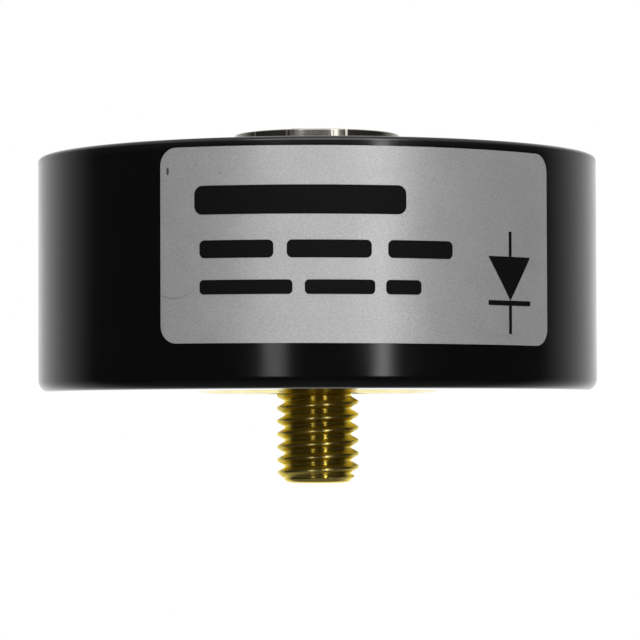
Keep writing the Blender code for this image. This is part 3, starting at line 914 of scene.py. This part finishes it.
stud_low, stud_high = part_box("threaded_stud")
stud = grown(
    "threaded_rod", thread,
    {
        "Pitch": THREAD_PITCH,
        "Nominal Radius": NOMINAL_RADIUS,
        "Crest Radius": STUD_CREST_RADIUS,
        "Root Flat": 0.0,
        "Crest At X": FIRST_CREST,
        "Low End": stud_low.z,
        "Low End Radius": TIP_RADIUS,
        "Low Slope": (STUD_CREST_RADIUS - TIP_RADIUS) / TIP_HEIGHT,
        "Low Bevel Radius": TIP_BEVEL_RADIUS,
        "High End": stud_high.z,
        "High End Radius": STUD_CREST_RADIUS - HEAD_CHAMFER,
        "Columns": 144,
        "Rows Per Pitch": 24,
        "Material": cut_brass,
    },
)
place(stud, "brass", "threaded_stud")
print("turns on the stud:", round((stud_high.z - stud_low.z) / THREAD_PITCH, 1))

# %% [markdown]
# ## Base
#
# A brass disc closes the floor of the case and takes the heat. Only its face shows, a
# fifth of a millimetre proud of the case, so that brass and not plastic presses on the
# heat sink. The face is relieved towards its edge, and the hole for the stud has a
# countersunk mouth.

# %% Base
BASE_SHOULDER_RISE = 0.3 * MM
BASE_CHAMFER = 0.2 * MM
FACE_RELIEF = 2.0 * MM
STUD_FIT = 0.03 * MM
STUD_HOLE_DEPTH = 4.8 * MM
STUD_COUNTERSINK = 1.1 * MM

base_low, base_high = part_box("base_electrode")
hole = STUD_CREST_RADIUS + STUD_FIT
shoulder = floor_top + BASE_SHOULDER_RISE
profile = [
    (0.0, base_high.z),
    (BASE_RADIUS - BASE_CHAMFER, base_high.z),
    (BASE_RADIUS, base_high.z - BASE_CHAMFER),
    (BASE_RADIUS, shoulder),
    (BASE_FACE_RADIUS, shoulder),
    (BASE_FACE_RADIUS, case_bottom),
    (BASE_FACE_RADIUS - FACE_RELIEF, base_low.z),
    (hole + STUD_COUNTERSINK, base_low.z),
    (hole, base_low.z + STUD_COUNTERSINK),
    (hole, base_low.z + STUD_HOLE_DEPTH),
    (0.0, base_low.z + STUD_HOLE_DEPTH),
]
base = turned("base_disc", profile, ROUND_SIDES, False)
base.data.materials.append(turned_brass)
place(base, "brass", "base_electrode")

# %% [markdown]
# ## Nickel plating
#
# The boss on top is turned brass with a bright nickel plating, which mirrors a slightly
# warm grey. Its side is handled most, so it is duller than the top, and its colour there
# is painted darker as shade. Cable lugs and spanners have slid along it and left fine
# upright streaks, which smear the mirrored lamps, three deeper scrapes down to clean
# metal, and a bruised patch. All of them are placed by their angle from the label's side,
# and stay off the flat top, which shows the rings of the lathe.

# %% Material of the boss
BUSH_SIDE = (7.80 * MM, 7.95 * MM)
SCUFFED_ROUGHNESS = 0.17
SIDE_SHADE_SHARE = 0.5
SCRAPED_ROUGHNESS = 0.55
STREAK_DEPTH = 0.014 * MM
BOSS_RING_DEPTH = 0.004 * MM
STREAK_WIDTH = 0.25 * MM
BRUISE_ANGLE = -14.0
BRUISE_HALF_WIDTH = 0.7 * MM
# Degrees from the label's side, half width, strength
MARKS = [
    (-47.6, 0.10 * MM, 0.5),
    (-21.0, 0.09 * MM, 0.3),
    (BRUISE_ANGLE, BRUISE_HALF_WIDTH, 0.15),
    (20.6, 0.11 * MM, 1.0),
]
# Share of a mark's half width over which its edge fades, inwards and outwards
MARK_SOFTNESS = 0.2
PLATED_ROUGHNESS = (0.10, 0.18)
# The same three colours as for the brass, then the painted shade of the side and the scraped metal
NICKEL = ("#C9C5BA", "#BFBAAE", "#FFFFFF")
SIDE_PAINTED_SHADE = "#57544E"
BARE_METAL = "#E6E3DA"

nickel, tree, shader, found = machined_metal(
    "bright_nickel_plating", *NICKEL, PLATED_ROUGHNESS, BOSS_RING_DEPTH,
)
on_side = add_node(
    tree, "ShaderNodeMapRange", None,
    {"Value": found["radius"], "From Min": BUSH_SIDE[0], "From Max": BUSH_SIDE[1]},
).outputs[0]
part = found["part"]
heading = add_node(tree, "ShaderNodeVectorMath", {"operation": "NORMALIZE"}, {0: found["flat"]})
streak = add_node(
    tree, "ShaderNodeTexNoise", None,
    {"Vector": heading, "Scale": BUSH_RADIUS / STREAK_WIDTH, "Detail": 3.0},
)
streak_height = add_node(tree, "ShaderNodeMath", {"operation": "MULTIPLY"}, {0: streak, 1: on_side})
streak_bump = add_node(
    tree, "ShaderNodeBump", None,
    {"Strength": 1.0, "Distance": STREAK_DEPTH, "Height": streak_height, "Normal": found["bump"]},
)
backward = add_node(tree, "ShaderNodeMath", {"operation": "MULTIPLY"}, {0: part["Y"], 1: -1.0})
bearing = add_node(tree, "ShaderNodeMath", {"operation": "ARCTAN2"}, {0: part["X"], 1: backward})
marks = 0.0
for degrees, half_width, strength in MARKS:
    turned_by = add_node(
        tree, "ShaderNodeMath", {"operation": "SUBTRACT"},
        {0: bearing, 1: math.radians(degrees)},
    )
    apart = add_node(tree, "ShaderNodeMath", {"operation": "ABSOLUTE"}, {0: turned_by})
    mark = add_node(
        tree, "ShaderNodeMapRange", {"interpolation_type": "SMOOTHSTEP"},
        {
            "Value": apart,
            "From Min": (1 + MARK_SOFTNESS) * half_width / BUSH_RADIUS,
            "From Max": (1 - MARK_SOFTNESS) * half_width / BUSH_RADIUS,
            "To Max": strength,
        },
    )
    marks = add_node(tree, "ShaderNodeMath", {"operation": "MAXIMUM"}, {0: marks, 1: mark}).outputs[0]
marks = add_node(tree, "ShaderNodeMath", {"operation": "MULTIPLY"}, {0: marks, 1: on_side}).outputs[0]
scuffed = add_node(
    tree, "ShaderNodeMix", None,
    {0: on_side, 2: found["roughness"], 3: SCUFFED_ROUGHNESS},
)
scraped = add_node(tree, "ShaderNodeMix", None, {0: marks, 2: scuffed, 3: SCRAPED_ROUGHNESS})
# The side's colour is pulled towards a dark grey: painted shade on the side of the boss
side_shade_share = add_node(tree, "ShaderNodeMath", {"operation": "MULTIPLY"}, {0: on_side, 1: SIDE_SHADE_SHARE})
dulled = add_node(
    tree, "ShaderNodeMix", {"data_type": "RGBA"},
    {0: side_shade_share, 6: found["tint"], 7: linear(SIDE_PAINTED_SHADE)},
)
bare = add_node(
    tree, "ShaderNodeMix", {"data_type": "RGBA"},
    {0: marks, 6: dulled.outputs[2], 7: linear(BARE_METAL)},
)
fill(tree, shader, {"Base Color": bare.outputs[2], "Roughness": scraped, "Normal": streak_bump})
print("nodes in", nickel.name + ":", len(tree.nodes))

# %% [markdown]
# ## Terminal boss
#
# Above the resin only the round head shows. Below, a groove and a hexagonal collar lock
# the boss in place. The tap is grown from the thread tree and cut from the blank, just as
# a real tap would do it, and a cone clears the mouth of the hole. Where the side is
# bruised, the edge has a small burr.

# %% Boss
BUSH_CHAMFER = 0.1 * MM
BUSH_SIDES = 192
HOLE_DEPTH = 9.8 * MM
TAP_ABOVE = 1.0 * MM
DRILLED_RADIUS = 3.35 * MM
DRILL_TIP_RADIUS = 3.2 * MM
MOUTH_RADIUS = 4.15 * MM
MOUTH_DEPTH = 0.8 * MM
BURR_HEIGHT = 0.05 * MM
BURR_INSIDE = 7.5 * MM
BURR_GRAIN = 0.3 * MM
BURR_UNEVENNESS = 0.25
CHAMFER_STEPS = 6

groove_radius = BUSH_RADIUS - BUSH_GROOVE_DEPTH
bush_top = bush_high.z - BURR_HEIGHT
profile = [(0.0, bush_top), (BURR_INSIDE, bush_top)]
profile += arc((BUSH_RADIUS - BUSH_CHAMFER, bush_top - BUSH_CHAMFER), BUSH_CHAMFER, 90, 0, CHAMFER_STEPS)
profile += [
    (BUSH_RADIUS, groove_top),
    (groove_radius, groove_top),
    (groove_radius, bush_low.z + COLLAR_HEIGHT / 2),
    (0.0, bush_low.z + COLLAR_HEIGHT / 2),
]
bush = turned("terminal_boss", profile, BUSH_SIDES, False)
combine(bush, hexagon("collar", COLLAR_FLATS, bush_low.z, collar_top), "UNION")
tap = grown(
    "tap", thread,
    {
        "Pitch": THREAD_PITCH,
        "Nominal Radius": NOMINAL_RADIUS,
        "Crest Radius": NOMINAL_RADIUS,
        "Root Flat": DRILLED_RADIUS,
        "Crest At X": bush_top,
        "Low End": bush_high.z - HOLE_DEPTH,
        "Low End Radius": DRILL_TIP_RADIUS,
        "Low Slope": 1.0,
        "Low Bevel Radius": DRILL_TIP_RADIUS,
        "High End": bush_top + TAP_ABOVE,
        "High End Radius": NOMINAL_RADIUS,
        "Columns": 96,
        "Rows Per Pitch": 16,
        "Material": nickel,
    },
)
combine(bush, tap, "DIFFERENCE")
cone_profile = [
    (0.0, bush_top + TAP_ABOVE),
    (MOUTH_RADIUS + TAP_ABOVE, bush_top + TAP_ABOVE),
    (MOUTH_RADIUS - MOUTH_DEPTH, bush_top - MOUTH_DEPTH),
    (0.0, bush_top - MOUTH_DEPTH),
]
combine(bush, turned("mouth_cone", cone_profile, BUSH_SIDES, False), "DIFFERENCE")
burr_reach = BRUISE_HALF_WIDTH / BUSH_RADIUS
for vertex in bush.data.vertices:
    if vertex.co.z > bush_top - BUSH_CHAMFER / 2 and vertex.co.xy.length > BURR_INSIDE + WELD:
        apart = math.atan2(vertex.co.x, -vertex.co.y) - math.radians(BRUISE_ANGLE)
        swell = max(0.0, 1.0 - (apart / burr_reach) ** 2)
        ragged = 1.0 - BURR_UNEVENNESS + BURR_UNEVENNESS * noise.noise(vertex.co / BURR_GRAIN)
        vertex.co.z += BURR_HEIGHT * swell * ragged
bush.data.materials.clear()
bush.data.materials.append(nickel)
place(bush, "nickel_plating", "terminal_bush")

# %% [markdown]
# ## Label film
#
# The label is a silver-grey polyester film with a matt face. It scatters light, but part
# of it is metallic: near the middle it brightens where the lamps would be mirrored. So
# its shader is a little more than half metal, with a fine grain. The foil's roll lines run
# along the label. They draw a mirrored lamp out up and down but keep it narrow sideways,
# which is what the anisotropic setting does. Small flaws keep the label from looking
# painted on: cloudy tone, a few dark specks, a nick near the upper left corner and a
# faint curved scratch.
#
# The flaws are placed on the flat film, so the shader unrolls the wall: the angle round
# the axis times the radius is the distance along the label.

# %% Material of the label
FILM_RADIUS = 27.15 * MM
GRAIN_SIZE = 0.14 * MM
CLOUD_SIZE = 4.0 * MM
GRAIN_DEPTH = 0.004 * MM
SPECK_SPACING = 2.6 * MM
# Radius of a speck, as a share of the spacing
SPECK_SHARE = 0.035
ROLL_LINE_STRENGTH = 0.7
QUARTER_TURN = 0.25
GRAIN_SHARE = 0.55
GRAIN_SATURATION = 0.15
FLAW_GREY = "#3A3A3C"
# Place on the flat film, half size, and how soft the edge is
FLAWS = [
    ("nick", (-14.05 * MM, 19.8 * MM), (0.14 * MM, 0.36 * MM), 0.25),
    ("scratch outside", (-13.4 * MM, 10.3 * MM), (2.6 * MM, 2.0 * MM), 0.02),
    ("scratch inside", (-13.36 * MM, 10.38 * MM), (2.6 * MM, 2.0 * MM), 0.02),
]

film, tree, shader, where = principled("matt_silver_polyester_film", "#ACACAE", 0.60, 0.50)
around = add_node(tree, "ShaderNodeTangent", {"direction_type": "RADIAL", "axis": "Z"})
roll_lines = {"Anisotropic": ROLL_LINE_STRENGTH, "Anisotropic Rotation": QUARTER_TURN}
fill(tree, shader, {"Tangent": around, **roll_lines})
part = add_node(tree, "ShaderNodeSeparateXYZ", None, {0: where}).outputs
forward = add_node(tree, "ShaderNodeMath", {"operation": "MULTIPLY"}, {0: part["Y"], 1: -1.0})
bearing = add_node(tree, "ShaderNodeMath", {"operation": "ARCTAN2"}, {0: part["X"], 1: forward})
sheet_x = add_node(tree, "ShaderNodeMath", {"operation": "MULTIPLY"}, {0: bearing, 1: FILM_RADIUS})
sheet = add_node(tree, "ShaderNodeCombineXYZ", None, {"X": sheet_x, "Y": part["Z"]})
grain = add_node(tree, "ShaderNodeTexNoise", None, {"Vector": sheet, "Scale": 1 / GRAIN_SIZE, "Detail": 2.0})
cloud = add_node(tree, "ShaderNodeTexNoise", None, {"Vector": sheet, "Scale": 1 / CLOUD_SIZE, "Detail": 4.0})
cells = add_node(tree, "ShaderNodeTexVoronoi", None, {"Vector": sheet, "Scale": 1 / SPECK_SPACING})
specks = add_node(
    tree, "ShaderNodeMath", {"operation": "LESS_THAN"},
    {0: cells.outputs["Distance"], 1: SPECK_SHARE},
)
ovals = {}
for name, centre, half_size, softness in FLAWS:
    shift = (-centre[0] / half_size[0], -centre[1] / half_size[1], 0.0)
    scale = (1 / half_size[0], 1 / half_size[1], 1.0)
    oval = add_node(tree, "ShaderNodeMapping", None, {"Vector": sheet, "Scale": scale, "Location": shift})
    distance = add_node(tree, "ShaderNodeVectorMath", {"operation": "LENGTH"}, {0: oval}).outputs["Value"]
    ovals[name] = add_node(
        tree, "ShaderNodeMapRange", {"interpolation_type": "SMOOTHSTEP"},
        {"Value": distance, "From Min": 1 + softness, "From Max": 1 - softness},
    )
scratch = add_node(
    tree, "ShaderNodeMath", {"operation": "SUBTRACT", "use_clamp": True},
    {0: ovals["scratch outside"], 1: ovals["scratch inside"]},
)
flaws = 0.0
for pattern, darkness in ((specks, 0.45), (ovals["nick"], 0.85), (scratch, 0.4)):
    faded = add_node(tree, "ShaderNodeMath", {"operation": "MULTIPLY"}, {0: pattern, 1: darkness})
    flaws = add_node(tree, "ShaderNodeMath", {"operation": "MAXIMUM"}, {0: flaws, 1: faded})
tone = add_node(
    tree, "ShaderNodeMix", {"data_type": "RGBA"},
    {0: cloud, 6: linear("#A4A5A6"), 7: linear("#B4B4B5")},
)
grained = add_node(
    tree, "ShaderNodeMix", {"data_type": "RGBA", "blend_type": "OVERLAY"},
    {0: GRAIN_SHARE, 6: tone.outputs[2], 7: grain.outputs["Color"]},
)
dulled = add_node(
    tree, "ShaderNodeHueSaturation", None,
    {"Saturation": GRAIN_SATURATION, "Color": grained.outputs[2]},
)
marked = add_node(
    tree, "ShaderNodeMix", {"data_type": "RGBA"},
    {0: flaws, 6: dulled.outputs[0], 7: linear(FLAW_GREY)},
)
grain_bump = add_node(
    tree, "ShaderNodeBump", None,
    {"Strength": 0.5, "Distance": GRAIN_DEPTH, "Height": grain},
)
fill(tree, shader, {"Base Color": marked.outputs[2], "Normal": grain_bump})
print("nodes in", film.name + ":", len(tree.nodes))

# %% [markdown]
# ## Wrapping film and print
#
# Label and print are drawn flat and wrapped on the case. A flat shape with round corners
# is written as upright columns, each with its lowest and highest point, because columns
# are what bends well round a cylinder. The columns sink a little towards the right, since
# the label was put on by hand and is a quarter of a degree askew. A second small tree does
# the wrapping: the place along the sheet becomes an angle. A Solidify modifier then gives
# the film its thickness outwards.

# %% Wrapping tree
COLUMN_STEP = 0.4 * MM
LABEL_TURN = math.radians(9.82)
LABEL_LEAN = math.tan(math.radians(-0.28))

WRAP_SUMS = [
    ("angle", "DIVIDE", "along", "Radius"),
    ("sine", "SINE", "angle"),
    ("cosine", "COSINE", "angle"),
    ("outward", "MULTIPLY", "Radius", -1.0),
    ("x", "MULTIPLY", "Radius", "sine"),
    ("y", "MULTIPLY", "outward", "cosine"),
]

wrap, value = new_shape_tree(
    "wrap_on_cylinder",
    {"Geometry": "NodeSocketGeometry", "Radius": "NodeSocketFloat", "Material": "NodeSocketMaterial"},
)
position = add_node(wrap, "GeometryNodeInputPosition")
flat = add_node(wrap, "ShaderNodeSeparateXYZ", None, {0: position}).outputs
value["along"] = flat["X"]
for result, operation, *terms in WRAP_SUMS:
    inputs = {index: value.get(term, term) for index, term in enumerate(terms)}
    value[result] = add_node(wrap, "ShaderNodeMath", {"operation": operation}, inputs).outputs[0]
bent = add_node(wrap, "ShaderNodeCombineXYZ", None, {"X": value["x"], "Y": value["y"], "Z": flat["Z"]})
wrapped = add_node(wrap, "GeometryNodeSetPosition", None, {"Geometry": value["Geometry"], "Position": bent})
real = add_node(wrap, "GeometryNodeRealizeInstances", None, {"Geometry": wrapped})
painted = add_node(wrap, "GeometryNodeSetMaterial", None, {"Geometry": real, "Material": value["Material"]})
add_node(wrap, "NodeGroupOutput", None, {"Geometry": painted})


def rounded_bar(left, right, low, high, corner, steps=8):
    """Columns of a flat bar with round corners, as place, lowest and highest point."""
    quarter = [math.radians(90.0 * step / steps) for step in range(steps + 1)]
    ends = [(corner * (1 - math.cos(a)), corner * (1 - math.sin(a))) for a in quarter]
    straight = right - left - 2 * corner
    count = max(1, math.ceil(straight / COLUMN_STEP))
    columns = [(left + inset, low + drop, high - drop) for inset, drop in ends]
    columns += [(left + corner + straight * step / count, low, high) for step in range(1, count)]
    columns += [(right - inset, low + drop, high - drop) for inset, drop in reversed(ends)]
    return columns


def wrapped_film(name, shapes, radius, thickness, material):
    """Flat shapes made of columns, wrapped on the case and thickened outwards."""
    points, faces = [], []
    for columns in shapes:
        first = len(points)
        for along, low, high in columns:
            lift = LABEL_LEAN * (along - LABEL_TURN * FILM_RADIUS)
            points += [(along, 0.0, low + lift), (along, 0.0, high + lift)]
        for step in range(len(columns) - 1):
            corner = first + 2 * step
            faces.append((corner, corner + 2, corner + 3, corner + 1))
    piece = new_piece(name, points, [], faces)
    weld = piece.modifiers.new("Weld", "WELD")
    weld.merge_threshold = WELD
    add_shape(piece, wrap, {"Radius": radius, "Material": material})
    solid = piece.modifiers.new("Thickness", "SOLIDIFY")
    solid.thickness = thickness
    solid.offset = 1.0
    return as_plain_mesh(piece)


print("column spacing on the label in mm:", COLUMN_STEP / MM)

# %% [markdown]
# ## Label
#
# The film is 38.8 mm long and 17.6 mm high with small round corners. It sits on the
# front of the wall, turned a little towards +X.

# %% Label
LABEL_WIDTH = 38.8 * MM
LABEL_CORNER = 1.6 * MM
LABEL_THICKNESS = 0.14 * MM
FILM_SEAT = 0.01 * MM

label_low, label_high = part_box("label")
label_middle = LABEL_TURN * FILM_RADIUS
label_left = label_middle - LABEL_WIDTH / 2
label_right = label_middle + LABEL_WIDTH / 2
label = wrapped_film(
    "label_film",
    [rounded_bar(label_left, label_right, label_low.z, label_high.z, LABEL_CORNER)],
    case_radius + FILM_SEAT, LABEL_THICKNESS, film,
)
place(label, "label", "label")
print("label height in mm:", round((label_high.z - label_low.z) / MM, 2))

# %% [markdown]
# ## Print
#
# The print is kept plain: one bold bar, a row of medium ones and a row of small ones. At
# the right is the general circuit symbol of a diode: a triangle that points the way the
# current goes, with a bar at its tip. The ink is matt black and lies on the film as a very
# thin layer of its own, so it is wrapped like the film.

# %% Print
INK_SEAT = 0.006 * MM
INK_THICKNESS = 0.012 * MM
INK_MOTTLE_SIZE = 0.25 * MM
SYMBOL_PLACE = 19.05 * MM
SYMBOL_LINE = 0.34 * MM
SYMBOL_WIDTH = 5.2 * MM
SYMBOL_BAR = (7.78 * MM, 8.23 * MM)
SYMBOL_TRIANGLE_TOP = 12.22 * MM
SYMBOL_ENDS = (5.2 * MM, 14.5 * MM)
TRIANGLE_STEPS = 16
BAR_ROUNDNESS = 0.3
# Lowest and highest point of each line, and where its bars begin and end, in mm
TEXT_BARS = [
    (15.7, 18.3, [(-11.3, 8.1)]),
    (11.8, 13.4, [(-10.8, -3.9), (-2.7, 4.9), (6.4, 12.6)]),
    (8.55, 9.85, [(-10.8, -2.2), (-1.1, 5.2), (6.2, 9.5)]),
]

shapes = []
for low, high, spans in TEXT_BARS:
    for left, right in spans:
        corner = (high - low) * MM * BAR_ROUNDNESS
        shapes.append(rounded_bar(left * MM, right * MM, low * MM, high * MM, corner))
half_line = SYMBOL_LINE / 2
line_left = SYMBOL_PLACE - half_line
line_right = SYMBOL_PLACE + half_line
symbol_left = SYMBOL_PLACE - SYMBOL_WIDTH / 2
symbol_right = SYMBOL_PLACE + SYMBOL_WIDTH / 2
shapes.append(rounded_bar(line_left, line_right, SYMBOL_ENDS[0], SYMBOL_BAR[0], half_line / 2))
shapes.append(rounded_bar(line_left, line_right, SYMBOL_TRIANGLE_TOP, SYMBOL_ENDS[1], half_line / 2))
shapes.append(rounded_bar(symbol_left, symbol_right, *SYMBOL_BAR, half_line / 2))
triangle = []
for step in range(TRIANGLE_STEPS + 1):
    share = step / TRIANGLE_STEPS
    depth = (SYMBOL_TRIANGLE_TOP - SYMBOL_BAR[1]) * (1.0 - abs(2 * share - 1))
    triangle.append((symbol_left + SYMBOL_WIDTH * share, SYMBOL_TRIANGLE_TOP - depth, SYMBOL_TRIANGLE_TOP))
shapes.append(triangle)

ink, tree, shader, where = principled("matt_black_screen_ink", "#080808", 0.0, 0.6)
mottle = add_node(
    tree, "ShaderNodeTexNoise", None,
    {"Vector": where, "Scale": 1 / INK_MOTTLE_SIZE, "Detail": 3.0},
)
ink_tone = add_node(
    tree, "ShaderNodeMix", {"data_type": "RGBA"},
    {0: mottle, 6: linear("#040404"), 7: linear("#0C0C0D")},
)
fill(tree, shader, {"Base Color": ink_tone.outputs[2], "Specular IOR Level": 0.1})
ink_radius = case_radius + FILM_SEAT + LABEL_THICKNESS + INK_SEAT
label_print = wrapped_film("label_print", shapes, ink_radius, INK_THICKNESS, ink)
place(label_print, None)
print("printed shapes:", len(shapes))

# %% [markdown]
# ## The hidden stack
#
# Under the resin lie the pieces that do the work, and they keep their CAD meshes. Each
# gets the finish of its real material: lapped molybdenum discs, polished silicon chips
# with white silicone rubber cast round their edges, rolled copper for the cap and the
# strap, and a clear gel round all of it.

# %% Materials inside
# Colour, second colour, metallic, lowest and highest roughness, grain and depth in mm
INNER_FINISHES = {
    "lapped_molybdenum": ("#9A9AA0", "#86868C", 1.0, (0.35, 0.5), 0.15, 0.003),
    "polished_silicon": ("#4C5158", "#43474E", 0.85, (0.08, 0.16), 0.6, 0.001),
    "white_silicone_rubber": ("#D2CFC8", "#C5C1B8", 0.0, (0.5, 0.65), 0.3, 0.01),
    "rolled_copper": ("#D98C6A", "#B56F50", 1.0, (0.25, 0.4), 0.2, 0.004),
    "clear_silicone_gel": ("#E4E8E4", "#D8DDD8", 0.0, (0.05, 0.12), 1.5, 0.01),
}
INNER_NODES = {
    "lapped_molybdenum": ["lower_molybdenum_disc", "middle_molybdenum_disc", "upper_molybdenum_disc"],
    "polished_silicon": ["lower_diode_chip", "upper_diode_chip"],
    "white_silicone_rubber": ["lower_chip_edge_ring", "upper_chip_edge_ring"],
    "rolled_copper": ["contact_cap", "strain_relief_strap"],
    "clear_silicone_gel": ["silicone_gel"],
}


def mottled(name, colour, other, metallic, roughness_range, grain_mm, bump_mm):
    """A material whose colour, roughness and bump follow one noise with a grain in mm."""
    material, tree, shader, where = principled(name, colour, metallic, roughness_range[0])
    grain = add_node(
        tree, "ShaderNodeTexNoise", None,
        {"Vector": where, "Scale": 1 / (grain_mm * MM), "Detail": 4.0},
    )
    tint = add_node(
        tree, "ShaderNodeMix", {"data_type": "RGBA"},
        {0: grain, 6: linear(colour), 7: linear(other)},
    )
    low, high = roughness_range
    roughness = add_node(
        tree, "ShaderNodeMapRange", None,
        {"Value": grain, **NOISE_SPREAD, "To Min": low, "To Max": high},
    )
    bump = add_node(
        tree, "ShaderNodeBump", None,
        {"Strength": 0.5, "Distance": bump_mm * MM, "Height": grain},
    )
    fill(tree, shader, {"Base Color": tint.outputs[2], "Roughness": roughness, "Normal": bump})
    return material


for name, finish in INNER_FINISHES.items():
    inner_material = mottled(name, *finish)
    if name == "clear_silicone_gel":
        gel = inner_material.node_tree
        fill(gel, gel.nodes["Principled BSDF"], {"Transmission Weight": 0.8, "IOR": 1.41})
    for node_name in INNER_NODES[name]:
        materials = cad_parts[node_name].data.materials
        materials.clear()
        materials.append(inner_material)
    print(name, "on", len(INNER_NODES[name]), "pieces")

# %% [markdown]
# ## Box of the dressed diode
#
# The dressed diode has to stay inside the box of the imported model. The last line works
# out the box of every piece that renders, leaving out the floor.

low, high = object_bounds()
